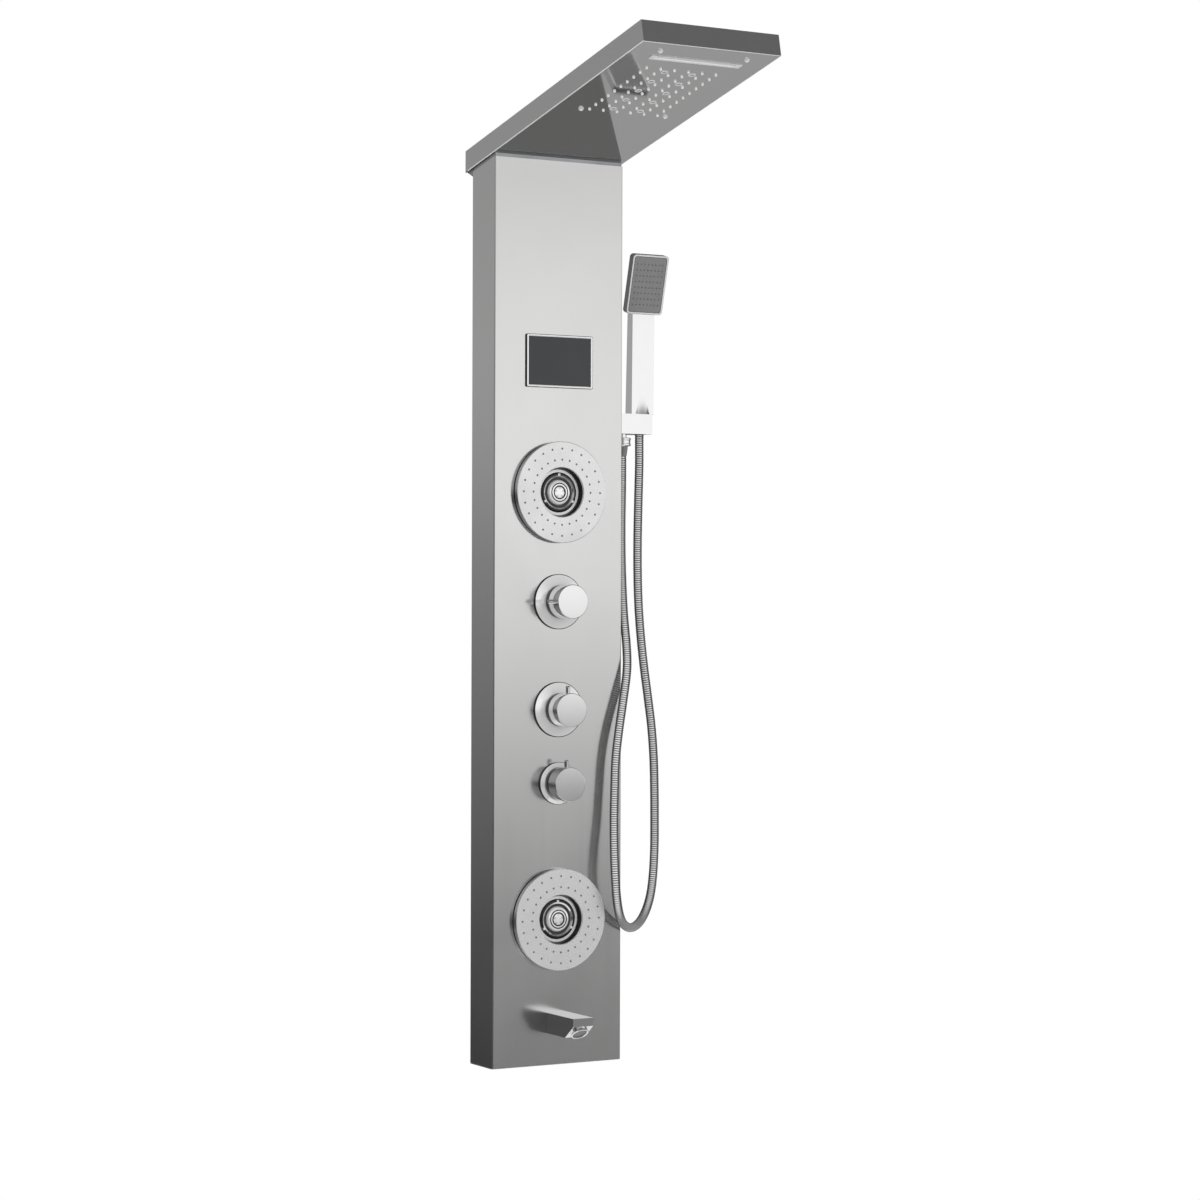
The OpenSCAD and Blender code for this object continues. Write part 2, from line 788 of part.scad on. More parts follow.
// Eyeball nozzle with its stepped mouth and spray insert
module jet_ball(z) {
    place() on_front(z) translate([0, 0, ball_n]) difference() {
        sphere(ball_r, $fn = 64);
        translate([0, 0, ball_flat]) cylinder(h = ball_r, r = 2 * ball_r);
        translate([0, 0, ball_flat - insert_t / 2])
            ring(insert_t, insert_r + fit_gap, insert_r - insert_t / 2);
        translate([0, 0, ball_flat - insert_t]) for (i = [0:insert_holes - 1])
            rotate([0, 0, i * 360 / insert_holes]) translate([insert_hole_ring, 0, 0])
                cylinder(h = insert_t + overrun, r = insert_hole_r, $fn = 24);
        translate([0, 0, -2 * ball_r])
            cylinder(h = 2 * ball_r + ball_flat - insert_t + overrun, r = ball_bore + insert_hole_r);
    }
}

module jet_nut(z) {
    place() on_front(z) translate([0, 0, -sheet - jet_nut_t])
        ring(jet_nut_t, spigot_r + jet_nut_wall, spigot_r + press_gap);
}

module upper_jet_cup() { color("gray") jet_cup(upper_jet_z); }
module upper_jet_disc() { color("lightgray") jet_disc(upper_jet_z); }
module upper_jet_tips() { color("dimgray") jet_tips(upper_jet_z); }
module upper_jet_ring() { color("gainsboro") jet_ring(upper_jet_z); }
module upper_jet_liner() { color("gray") jet_liner(upper_jet_z); }
module upper_jet_ball() { color("gainsboro") jet_ball(upper_jet_z); }
module upper_jet_nut() { color("dimgray") jet_nut(upper_jet_z); }
module lower_jet_cup() { color("gray") jet_cup(lower_jet_z); }
module lower_jet_disc() { color("lightgray") jet_disc(lower_jet_z); }
module lower_jet_tips() { color("dimgray") jet_tips(lower_jet_z); }
module lower_jet_ring() { color("gainsboro") jet_ring(lower_jet_z); }
module lower_jet_liner() { color("gray") jet_liner(lower_jet_z); }
module lower_jet_ball() { color("gainsboro") jet_ball(lower_jet_z); }
module lower_jet_nut() { color("dimgray") jet_nut(lower_jet_z); }

// Wall plate round a knob's neck, its face rising towards the knob
module escutcheon(z, r) {
    rim_t = escutcheon_t * escutcheon_rim_share;
    place() on_front(z) difference() {
        union() {
            cylinder(h = rim_t, r = r);
            translate([0, 0, rim_t]) cylinder(h = escutcheon_t - rim_t, r1 = r, r2 = knob_r);
        }
        translate([0, 0, -overrun]) cylinder(h = escutcheon_t + 2 * overrun, r = neck_r + press_gap);
    }
}

// Knob on its spindle, hollow over the valve's neck
module knob(z, reach, lever_angle) {
    foot = escutcheon_t + knob_foot;
    place() on_front(z) difference() {
        translate([0, 0, foot]) cylinder(h = reach - foot, r = knob_r);
        translate([0, 0, foot - overrun])
            cylinder(h = neck_l + knob_foot - foot + overrun, r = knob_r - knob_wall);
        translate([0, 0, foot]) cylinder(h = reach - knob_cap - foot, r = spindle_r + press_gap);
        rotate([0, 0, lever_angle]) translate([knob_r - lever_sunk, 0, reach - lever_back - lever_r])
            rotate([0, 90, 0]) cylinder(h = lever_l, r = lever_r + press_gap, $fn = 32);
    }
}

module lever(z, reach, lever_angle) {
    place() on_front(z) rotate([0, 0, lever_angle])
        translate([knob_r - lever_sunk, 0, reach - lever_back - lever_r]) rotate([0, 90, 0]) {
            cylinder(h = lever_sunk + lever_l - lever_r / 2, r = lever_r, $fn = 32);
            translate([0, 0, lever_sunk + lever_l - lever_r / 2])
                cylinder(h = lever_r / 2, r1 = lever_r, r2 = lever_r * lever_tip_share, $fn = 32);
        }
}

// Turning part of a ceramic valve, with the spindle that carries the knob
module spindle(z, reach) {
    place() on_front(z) {
        translate([0, 0, -cartridge_back])
            cylinder(h = cartridge_back + spindle_shoulder, r = neck_bore - run_gap);
        translate([0, 0, spindle_shoulder]) cylinder(h = reach - knob_cap - spindle_shoulder, r = spindle_r);
    }
}

module diverter_escutcheon() { color("gainsboro") escutcheon(diverter_z, escutcheon_r); }
module hot_escutcheon() { color("gainsboro") escutcheon(hot_z, escutcheon_r); }
module cold_escutcheon() { color("gainsboro") escutcheon(cold_z, small_escutcheon_r); }
module diverter_knob() { color("whitesmoke") knob(diverter_z, diverter_reach, 180); }
module hot_knob() { color("whitesmoke") knob(hot_z, hot_reach, 90); }
module cold_knob() { color("whitesmoke") knob(cold_z, cold_reach, 90); }
module diverter_lever() { color("gainsboro") lever(diverter_z, diverter_reach, 180); }
module hot_lever() { color("gainsboro") lever(hot_z, hot_reach, 90); }
module cold_lever() { color("gainsboro") lever(cold_z, cold_reach, 90); }
module diverter_spindle() { color("goldenrod") spindle(diverter_z, diverter_reach); }
module hot_spindle() { color("goldenrod") spindle(hot_z, hot_reach); }
module cold_spindle() { color("goldenrod") spindle(cold_z, cold_reach); }

function water_y() = front_y + body_n;

// Valve boss behind the panel, with its neck out through the panel
module valve_boss(z) {
    on_front(z) {
        translate([0, 0, -boss_back]) cylinder(h = boss_back - sheet, r = boss_r);
        translate([0, 0, -sheet - overrun]) cylinder(h = neck_l + sheet + overrun, r = neck_r);
    }
}

module valve_bore(z) {
    on_front(z) {
        translate([0, 0, -cartridge_back - fit_gap])
            cylinder(h = cartridge_back + neck_l + overrun + fit_gap, r = neck_bore);
        translate([0, 0, -boss_back + knob_wall])
            cylinder(h = boss_back, r = port_r);
    }
}

// Inlet nipple with its arm, on one side of the mixer, open towards the wall
module inlet(x, z) {
    corner = [x, water_y(), z];
    tip = corner + [0, inlet_reach, 0];
    rod([0, water_y(), z], corner, inlet_arm_r);
    translate(corner) sphere(inlet_neck_r);
    rod(corner, tip, inlet_neck_r);
    rod(tip - [0, inlet_thread_l, 0], tip, inlet_r);
}

module inlet_bore(x, z) {
    corner = [x, water_y(), z];
    rod([0, water_y(), z], corner, port_r);
    rod(corner, corner + [0, inlet_reach + overrun, 0], inlet_bore);
}

module mixer_body() {
    top = diverter_z - drum_r;
    color("goldenrod") place() difference() {
        union() {
            rod([0, water_y(), cold_z - mixer_r], [0, water_y(), hot_z + mixer_r], mixer_r);
            rod([0, water_y(), hot_z], [0, water_y(), top], arm_r);
            valve_boss(hot_z);
            valve_boss(cold_z);
            inlet(-inlet_x, hot_z);
            inlet(inlet_x, cold_z);
        }
        rod([0, water_y(), cold_z], [0, water_y(), top + overrun], port_r);
        valve_bore(hot_z);
        valve_bore(cold_z);
        inlet_bore(-inlet_x, hot_z);
        inlet_bore(inlet_x, cold_z);
    }
}

// The diverter's ports: their side, and their step above or below its axis
ports = [[1, port_step], [1, 0], [1, -port_step], [-1, port_step], [-1, -port_step]];

module port_rods(reach, r) {
    for (p = ports)
        rod([0, water_y(), diverter_z + p.y], [p.x * reach, water_y(), diverter_z + p.y], r);
}

module diverter_body() {
    color("goldenrod") place() difference() {
        union() {
            on_front(diverter_z) translate([0, 0, -body_n - drum_t / 2]) cylinder(h = drum_t, r = drum_r);
            valve_boss(diverter_z);
            port_rods(port_reach, water_r);
        }
        valve_bore(diverter_z);
        port_rods(port_reach + overrun, water_bore);
        rod([0, water_y(), diverter_z - drum_r - overrun], [0, water_y(), diverter_z], port_r);
    }
}

// Hoses from the diverter to each outlet
module water_hoses() {
    y = water_y();
    back = front_y + spigot_back + jet_nipple_l;
    run_y = back + knee_r;
    up = diverter_z + port_step;
    down = diverter_z - port_step;
    spout_z = spout_top - spout_h / 2;
    holder_z = holder_top - holder_h / 2;
    color("#3a3a3c") place() {
        pipe_run([[port_reach, y, up], [near_x, y, up], [near_x, y, rise_z(y)],
            head_point(near_x, nozzle_first - chamber_margin, pipe_w)], water_r, knee_r);
        pipe_run([[-port_reach, y, up], [-near_x, y, up], [-near_x, y, rise_z(y)],
            [-head_side_x, y, rise_z(y)], head_point(-head_side_x, fall_v, pipe_w),
            head_point(-fall_chamber_w / 2, fall_v, pipe_w)], water_r, knee_r);
        pipe_run([[port_reach, y, diverter_z], [far_x, y, diverter_z], [far_x, y, holder_z],
            [far_x, handset_y, holder_z], [inner_x - side_spigot_l, handset_y, holder_z]], water_r, knee_r);
        pipe_run([[port_reach, y, down], [far_x, y, down], [far_x, y, spout_z], [0, y, spout_z],
            [0, front_y + spout_thread_l, spout_z]], water_r, knee_r);
        pipe_run([[-port_reach, y, down], [-far_x, y, down], [-far_x, y, upper_jet_z],
            [-far_x, run_y, upper_jet_z], [0, run_y, upper_jet_z], [0, back, upper_jet_z]], water_r, knee_r);
        pipe_run([[-far_x, y, down], [-far_x, y, lower_jet_z], [-far_x, run_y, lower_jet_z],
            [0, run_y, lower_jet_z], [0, back, lower_jet_z]], water_r, knee_r);
    }
}

// Height at which a riser turns forward into the head
function rise_z(y) = head_foot_z - y * head_tan + pipe_w / cos(head_tilt);

// spout
slant_n = spout_reach * spout_slant_share;
slant_drop = spout_h - spout_nose;
slant_run = spout_reach - slant_n;
slant_angle = atan2(slant_drop, slant_run);

module bath_spout() {
    z = spout_top - spout_h / 2;
    color("gainsboro") place() difference() {
        union() {
            across(spout_w) polygon([[front_y, spout_top], [front_y - spout_reach, spout_top],
                [front_y - spout_reach, spout_top - spout_nose], [front_y - slant_n, spout_top - spout_h],
                [front_y, spout_top - spout_h]]);
            rod([0, front_y - overrun, z], [0, front_y + spout_thread_l, z], spout_thread_r);
        }
        rod([0, front_y - slant_n, z], [0, front_y + spout_thread_l + overrun, z], spout_bore);
        on_slant() translate([0, 0, -aerator_sunk])
            cylinder(h = aerator_sunk + overrun, r = aerator_r + press_gap);
    }
}

// Local Z points out of the spout's slanted mouth
module on_slant() {
    translate([0, front_y - slant_n - slant_run / 2, spout_top - spout_nose - slant_drop / 2])
        rotate([180 - slant_angle, 0, 0]) children();
}

module spout_aerator() {
    color("gainsboro") place() on_slant() {
        translate([0, 0, -aerator_sunk]) ring(aerator_sunk + aerator_proud, aerator_r, aerator_in);
        translate([0, 0, aerator_proud - mesh_back - mesh_t]) cylinder(h = mesh_t, r = aerator_in + overrun);
    }
}

module spout_nut() {
    z = spout_top - spout_h / 2;
    color("goldenrod") place() on_front(z) translate([0, 0, -sheet - spout_nut_t]) difference() {
        cylinder(h = spout_nut_t, r = spout_nut_r, $fn = 6);
        translate([0, 0, -overrun]) cylinder(h = spout_nut_t + 2 * overrun, r = spout_thread_r + press_gap);
    }
}

// Holder block on the column's side, with the handset's seat and the hose outlet
module handset_holder() {
    foot = holder_top - holder_h;
    z = foot + holder_h / 2;
    color("whitesmoke") place() difference() {
        union() {
            translate([side_x, handset_y - holder_front, foot])
                cube([handset_out + holder_end, holder_front + holder_back, holder_h]);
            rod([side_x + overrun, handset_y, z], [inner_x - side_spigot_l, handset_y, z], side_spigot_r);
            rod([outlet_x, handset_y, foot + overrun], [outlet_x, handset_y, foot - outlet_neck_l],
                outlet_neck_r);
        }
        translate([handset_x, handset_y, foot - overrun]) cylinder(h = overrun + fit_gap, r = seat_foot_r);
        translate([handset_x, handset_y, foot]) cylinder(h = holder_h, r1 = seat_foot_r, r2 = seat_top_r);
        translate([handset_x, handset_y, holder_top - fit_gap])
            cylinder(h = overrun + fit_gap, r = seat_top_r);
        translate([handset_x, handset_y - hose_slot / 2, foot - overrun])
            cube([handset_out, hose_slot, holder_h + 2 * overrun]);
        rod([inner_x - side_spigot_l - overrun, handset_y, z], [outlet_x, handset_y, z], holder_bore);
        rod([outlet_x, handset_y, z], [outlet_x, handset_y, foot - outlet_neck_l - overrun], water_bore);
    }
}

module holder_nut() {
    z = holder_top - holder_h / 2;
    color("goldenrod") place() translate([inner_x - holder_nut_t, handset_y, z]) rotate([0, 90, 0])
        difference() {
            cylinder(h = holder_nut_t, r = holder_nut_r, $fn = 6);
            translate([0, 0, -overrun])
                cylinder(h = holder_nut_t + 2 * overrun, r = side_spigot_r + press_gap);
        }
}

// Nut and cone at the hose's outlet end
module hose_end_nut() {
    foot = holder_top - holder_h - outlet_neck_l;
    color("gainsboro") place() translate([outlet_x, handset_y, foot - end_nut_l]) difference() {
        union() {
            cylinder(h = end_nut_l, r = end_nut_r);
            translate([0, 0, -end_cone_l])
                cylinder(h = end_cone_l, r1 = hose_d / 2 + plate_gap, r2 = end_cone_r);
        }
        translate([0, 0, -end_cone_l - overrun])
            cylinder(h = end_nut_l + end_cone_l + 2 * overrun, r = hose_bore / 2);
    }
}

// Cone nut at the handset's end, which seats in the holder
module hose_cone_nut() {
    foot = holder_top - holder_h;
    color("gainsboro") place() translate([handset_x, handset_y, foot]) difference() {
        cylinder(h = holder_h, r1 = seat_foot_r - fit_gap, r2 = seat_top_r - fit_gap);
        translate([0, 0, -overrun]) cylinder(h = holder_h, r = hose_bore / 2);
        translate([0, 0, holder_h - nut_thread_l]) cylinder(h = nut_thread_l + overrun, r = nut_thread_r);
    }
}

// The spray plate's own frame: X across, -Y out of its face, Z up its length, from the middle of its face
module on_plate() {
    rise = plate_l / 2;
    middle_y = handset_y - plate_foot_y - rise * sin(plate_lean);
    translate([handset_x, middle_y, plate_foot_z + rise * cos(plate_lean)])
        rotate([plate_lean, 0, 0]) children();
}

// An upright plate with round corners, its face on Y = 0 and its body behind
module plate_box(w, l, t, r) {
    rotate([-90, 0, 0]) round_box([w, l, t], r);
}

module handset_body() {
    foot = holder_top + fit_gap;
    half = handle_d / 2;
    top = plate_foot_z + plate_t;
    scoop_tilt = atan2(scoop_depth, scoop_h);
    scoop_r = (scoop_half * scoop_half + scoop_depth * scoop_depth) / (2 * scoop_depth);
    color("whitesmoke") place() difference() {
        union() {
            translate([handset_x, 0, 0]) across(handle_w) polygon([[handset_y - half, foot],
                [handset_y - half - handle_lean, top], [handset_y - half - handle_lean + handle_top_d, top],
                [handset_y + half, foot]]);
            on_plate() plate_box(plate_w, plate_l, plate_t, plate_round);
            translate([handset_x, handset_y, foot - nut_thread_l + fit_gap])
                cylinder(h = nut_thread_l + overrun, r = nut_thread_r - run_gap);
        }
        translate([handset_x, handset_y - half - scoop_r + scoop_depth, foot])
            rotate([scoop_tilt, 0, 0]) translate([0, 0, -scoop_h])
                cylinder(h = 3 * scoop_h, r = scoop_r, $fn = 96);
        on_plate() translate([0, -overrun, 0])
            plate_box(plate_w - 2 * plate_rim, plate_l - 2 * plate_rim, face_t + overrun,
                plate_round - plate_rim / 2);
        on_plate() translate([0, face_t - overrun, 0])
            plate_box(plate_w - 4 * plate_rim, plate_l - 4 * plate_rim, spray_gap + overrun,
                plate_round / 2);
        rod([handset_x, handset_y, foot - nut_thread_l - overrun],
            [handset_x, handset_y - handle_lean, plate_foot_z + handle_w / 2], handle_bore);
    }
}

// Grey spray face with its grid of tips
module handset_face() {
    places = [for (i = [0:tip_grid - 1], j = [0:tip_grid - 1])
        [(i - (tip_grid - 1) / 2) * tip_pitch_x, (j - (tip_grid - 1) / 2) * tip_pitch_z]];
    color("dimgray") place() on_plate() {
        plate_box(plate_w - 2 * (plate_rim + plate_gap), plate_l - 2 * (plate_rim + plate_gap), face_t,
            plate_round - plate_rim / 2 - plate_gap);
        for (p = places) translate([p.x, face_t, p.y]) rotate([90, 0, 0])
            cylinder(h = face_t + tip_out, r = tip_r, $fn = 16);
    }
}

// The free hose
// A point of a smooth curve through the route, at t counted in route points
function hose_at(t) =
    let (last = len(hose_route) - 1, i = min(floor(t), last - 1), s = t - i,
        a = hose_route[max(i - 1, 0)], b = hose_route[i],
        c = hose_route[i + 1], d = hose_route[min(i + 2, last)])
    b + s * (c - a) / 2 + s * s * (2 * a - 5 * b + 4 * c - d) / 2 + s * s * s * (3 * b - a - 3 * c + d) / 2;

hose_fine = 12; // curve steps between two route points
hose_curve = [for (k = [0:(len(hose_route) - 1) * hose_fine]) hose_at(k / hose_fine)];
function run_lengths(points, i = 0, sum = 0) =
    i == len(points) - 1 ? [sum] :
    concat([sum], run_lengths(points, i + 1, sum + norm(points[i + 1] - points[i])));
hose_runs = run_lengths(hose_curve);
hose_length = hose_runs[len(hose_runs) - 1];

// The point at a length along the curve
function hose_step(s, low, high) =
    high - low <= 1 ? low :
    let (mid = floor((low + high) / 2))
    hose_runs[mid] <= s ? hose_step(s, mid, high) : hose_step(s, low, mid);
function hose_point(s) =
    let (i = hose_step(s, 0, len(hose_runs) - 1),
        part = (s - hose_runs[i]) / (hose_runs[i + 1] - hose_runs[i]))
    hose_curve[i] + part * (hose_curve[i + 1] - hose_curve[i]);

// A ring of points round the curve, at a length s along it
function hose_ring(s, r) =
    let (step = hose_d / 8, a = hose_point(max(s - step, 0)), b = hose_point(min(s + step, hose_length)),
        way = (b - a) / norm(b - a), side = cross(way, [0, 1, 0]),
        u = side / norm(side), v = cross(way, u), middle = hose_point(s))
    [for (k = [0:hose_sides - 1]) let (turn = k * 360 / hose_sides)
        middle + r * (cos(turn) * u + sin(turn) * v)];

// Triangles between two neighbouring rings that start at points a and b
function band(a, b, flip) = [for (k = [0:hose_sides - 1])
    let (n = (k + 1) % hose_sides, one = flip ? [a + k, b + k, b + n] : [a + k, b + n, b + k],
        two = flip ? [a + k, b + n, a + n] : [a + k, a + n, b + n]) each [one, two]];

module shower_hose() {
    rib = hose_length / hose_ribs;
    outer = [for (i = [0:hose_ribs]) each
        i == 0 || i == hose_ribs ? [hose_ring(i * rib, hose_d / 2)] :
        [hose_ring((i - rib_crest_share) * rib, hose_d / 2 - rib_depth),
            hose_ring((i + rib_crest_share) * rib, hose_d / 2)]];
    inner = [for (i = [0:hose_bore_rings]) hose_ring(i * hose_length / hose_bore_rings, hose_bore / 2)];
    outer_n = len(outer);
    inner_n = len(inner);
    start = outer_n * hose_sides;
    color("darkgray") place() polyhedron(
        points = [for (r = concat(outer, inner)) each r],
        faces = concat(
            [for (i = [0:outer_n - 2]) each band(i * hose_sides, (i + 1) * hose_sides, false)],
            [for (i = [0:inner_n - 2])
                each band(start + i * hose_sides, start + (i + 1) * hose_sides, true)],
            band(0, start, true),
            band((outer_n - 1) * hose_sides, start + (inner_n - 1) * hose_sides, false)));
}

// Least gap between stretches of the hose that are at least four diameters apart along it
hose_marks = 110;
hose_gap = min([for (i = [0:hose_marks], j = [0:hose_marks])
    if ((j - i) * hose_length / hose_marks > 4 * hose_d)
        norm(hose_point(i * hose_length / hose_marks) - hose_point(j * hose_length / hose_marks)) - hose_d]);
echo(hose_length = hose_length, hose_least_gap = hose_gap);

column_shell();
column_bottom_cap();
head_bracket();
head_gusset();
upper_rail();
lower_rail();
upper_wall_bracket();
lower_wall_bracket();
head_shell();
head_plate();
rain_chamber();
rain_nozzles();
led_bezels();
led_lenses();
waterfall_chamber();
waterfall_lip();
waterfall_strip();
head_dome_nuts();
display_bezel();
display_glass();
display_module();
upper_jet_cup();
upper_jet_disc();
upper_jet_tips();
upper_jet_ring();
upper_jet_liner();
upper_jet_ball();
upper_jet_nut();
lower_jet_cup();
lower_jet_disc();
lower_jet_tips();
lower_jet_ring();
lower_jet_liner();
lower_jet_ball();
lower_jet_nut();
diverter_escutcheon();
diverter_knob();
diverter_lever();
diverter_spindle();
hot_escutcheon();
hot_knob();
hot_lever();
hot_spindle();
cold_escutcheon();
cold_knob();
cold_lever();
cold_spindle();
mixer_body();
diverter_body();
water_hoses();
bath_spout();
spout_aerator();
spout_nut();
handset_holder();
holder_nut();
hose_end_nut();
hose_cone_nut();
handset_body();
handset_face();
shower_hose();
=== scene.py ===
import math

import bmesh
import bpy
from mathutils import Matrix, Vector


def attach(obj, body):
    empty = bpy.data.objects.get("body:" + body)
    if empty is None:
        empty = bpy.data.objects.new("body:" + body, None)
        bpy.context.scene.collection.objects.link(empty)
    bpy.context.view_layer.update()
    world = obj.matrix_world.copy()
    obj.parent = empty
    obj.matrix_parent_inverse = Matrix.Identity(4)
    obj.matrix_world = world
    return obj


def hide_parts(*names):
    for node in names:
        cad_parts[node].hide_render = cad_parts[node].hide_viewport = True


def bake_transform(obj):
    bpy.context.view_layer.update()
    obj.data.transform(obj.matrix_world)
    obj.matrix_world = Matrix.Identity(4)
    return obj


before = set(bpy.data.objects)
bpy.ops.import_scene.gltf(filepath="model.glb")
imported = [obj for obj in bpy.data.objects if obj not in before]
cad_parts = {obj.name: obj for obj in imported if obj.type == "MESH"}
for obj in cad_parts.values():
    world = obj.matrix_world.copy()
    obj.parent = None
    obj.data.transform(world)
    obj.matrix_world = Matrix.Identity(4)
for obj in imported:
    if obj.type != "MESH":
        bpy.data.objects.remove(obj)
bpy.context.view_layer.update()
print("frame loaded")

mm = 0.001  # in metres
tiny = 1e-6  # counts as nothing

# Places that the pieces share, in metres and degrees
panel = {"frontY": -0.081}
head = {"footZ": 0.581342, "tilt": 12.3}


def onFront(z):  # local Z points out of the panel, local Y up
    return Matrix.Translation((0, panel["frontY"], z)) @ Matrix.Rotation(math.radians(90), 4, "X")


def onHead(v):  # v runs up the slope, local Z into the head
    turn = Matrix.Rotation(-math.radians(head["tilt"]), 4, "X")
    return Matrix.Translation((0, 0, head["footZ"])) @ turn @ Matrix.Translation((0, -v, 0))


# Camera, fitted to the photograph
photoView = {"place": (-1.9626, -3.6249, 0.0057), "yaw": 29.755, "pitch": 0.116, "roll": -0.166,
             "lens": 91.914, "sensor": 36.0, "clipEnd": 60.0}


def makeCamera(v):
    yaw, pitch, roll = (math.radians(v[k]) for k in ("yaw", "pitch", "roll"))
    forward = Vector((math.sin(yaw) * math.cos(pitch), math.cos(yaw) * math.cos(pitch), math.sin(pitch)))
    right = Vector((math.cos(yaw), -math.sin(yaw), 0))
    down = forward.cross(right)
    side = right * math.cos(roll) + down * math.sin(roll)
    under = down * math.cos(roll) - right * math.sin(roll)
    data = bpy.data.cameras.new("photoView")
    data.lens, data.sensor_width, data.clip_end = v["lens"], v["sensor"], v["clipEnd"]
    camera = bpy.data.objects.new("photoView", data)
    bpy.context.collection.objects.link(camera)
    turn = Matrix((side, -under, -forward)).transposed().to_4x4()
    camera.matrix_world = Matrix.Translation(v["place"]) @ turn
    bpy.context.scene.camera = camera


makeCamera(photoView)
print("camera set")


# Shader groups: effects that several finishes share
def shaderGroup(name, inputs, outputs):
    tree = bpy.data.node_groups.new(name, "ShaderNodeTree")
    for label, kind, value in inputs:
        socket = tree.interface.new_socket(name=label, in_out="INPUT", socket_type=kind)
        if value is not None:
            socket.default_value = value
    for label in outputs:
        tree.interface.new_socket(name=label, in_out="OUTPUT", socket_type="NodeSocketFloat")
    return tree, tree.nodes.new("NodeGroupInput"), tree.nodes.new("NodeGroupOutput")


def addNode(tree, kind, links=(), **settings):
    node = tree.nodes.new(kind)
    for key, value in settings.items():
        setattr(node, key, value)
    for socket, source in links:
        target = node.inputs[socket]
        if isinstance(source, bpy.types.NodeSocket):
            tree.links.new(source, target)
        else:
            target.default_value = source
    return node


def addMath(tree, operation, *values, clamp=False):
    links = list(enumerate(values))
    return addNode(tree, "ShaderNodeMath", links, operation=operation, use_clamp=clamp).outputs[0]


def addRange(tree, value, low, high, toLow=0.0, toHigh=1.0, smooth=True):
    links = [("Value", value), ("From Min", low), ("From Max", high), ("To Min", toLow), ("To Max", toHigh)]
    kind = "SMOOTHSTEP" if smooth else "LINEAR"
    return addNode(tree, "ShaderNodeMapRange", links, interpolation_type=kind).outputs[0]


def addMix(tree, share, first, second):  # mixes two colours, which are sockets 6 and 7 of the node
    mix = addNode(tree, "ShaderNodeMix", [(0, share), (6, first), (7, second)], data_type="RGBA")
    return mix.outputs[2]


def makeGrainGroup():  # long fine lines along local Z, as a belt leaves them on sheet
    tree, into, out = shaderGroup("brushedGrain", [
        ("Vector", "NodeSocketVector", None), ("Fine across", "NodeSocketFloat", 1600.0),
        ("Coarse across", "NodeSocketFloat", 220.0), ("Along", "NodeSocketFloat", 4.0)],
        ["Mask", "Height"])
    layers = []
    for label in ("Fine across", "Coarse across"):
        stretch = addNode(tree, "ShaderNodeCombineXYZ", [
            ("X", into.outputs[label]), ("Y", into.outputs[label]), ("Z", into.outputs["Along"])])
        drawn = addNode(tree, "ShaderNodeVectorMath", [
            (0, into.outputs["Vector"]), (1, stretch.outputs[0])], operation="MULTIPLY")
        noise = addNode(tree, "ShaderNodeTexNoise", [
            ("Vector", drawn.outputs[0]), ("Scale", 1.0), ("Detail", 3.0), ("Roughness", 0.6)])
        layers.append(noise.outputs["Fac"])
    fineShare = 0.6
    both = addMath(tree, "ADD", addMath(tree, "MULTIPLY", layers[0], fineShare),
                   addMath(tree, "MULTIPLY", layers[1], 1 - fineShare))
    tree.links.new(both, out.inputs["Mask"])
    tree.links.new(layers[0], out.inputs["Height"])
    return tree


def makeMarksGroup():  # soft clouds of wiping and handling
    tree, into, out = shaderGroup("handlingMarks", [
        ("Vector", "NodeSocketVector", None), ("Size", "NodeSocketFloat", 14.0),
        ("Contrast", "NodeSocketFloat", 0.5)],
        ["Mask"])
    noise = addNode(tree, "ShaderNodeTexNoise", [
        ("Vector", into.outputs["Vector"]), ("Scale", into.outputs["Size"]), ("Detail", 5.0),
        ("Roughness", 0.62), ("Distortion", 0.6)])
    centred = addMath(tree, "SUBTRACT", noise.outputs["Fac"], 0.5)
    spread = addMath(tree, "MULTIPLY", centred, addMath(tree, "ADD", into.outputs["Contrast"], 1.0))
    tree.links.new(addMath(tree, "ADD", spread, 0.5, clamp=True), out.inputs["Mask"])
    return tree


def makeMouldedGroup():  # fine even skin of moulded plastic, rubber and cast metal
    tree, into, out = shaderGroup("mouldedSkin", [
        ("Vector", "NodeSocketVector", None), ("Size", "NodeSocketFloat", 900.0)],
        ["Mask", "Height"])
    cells = addNode(tree, "ShaderNodeTexVoronoi", [
        ("Vector", into.outputs["Vector"]), ("Scale", into.outputs["Size"]), ("Randomness", 1.0)])
    coarser = addMath(tree, "MULTIPLY", into.outputs["Size"], 0.35)  # the noise against the cells
    noise = addNode(tree, "ShaderNodeTexNoise", [
        ("Vector", into.outputs["Vector"]), ("Scale", coarser), ("Detail", 4.0)])
    tree.links.new(noise.outputs["Fac"], out.inputs["Mask"])
    tree.links.new(addMath(tree, "ADD", addMath(tree, "MULTIPLY", cells.outputs["Distance"], 0.5),
                           addMath(tree, "MULTIPLY", noise.outputs["Fac"], 0.5)), out.inputs["Height"])
    return tree


def makeTurnedGroup():  # rings of a lathe tool, from the length along the turned outline
    tree, into, out = shaderGroup("turnedRings", [
        ("Vector", "NodeSocketVector", None), ("Rings", "NodeSocketFloat", 2600.0)],
        ["Mask", "Height"])
    parts = addNode(tree, "ShaderNodeSeparateXYZ", [(0, into.outputs["Vector"])])
    along = addNode(tree, "ShaderNodeCombineXYZ", [
        ("X", addMath(tree, "MULTIPLY", parts.outputs["Y"], into.outputs["Rings"]))])
    noise = addNode(tree, "ShaderNodeTexNoise", [
        ("Vector", along.outputs[0]), ("Scale", 1.0), ("Detail", 3.0), ("Roughness", 0.7)])
    for label in ("Mask", "Height"):
        tree.links.new(noise.outputs["Fac"], out.inputs[label])
    return tree


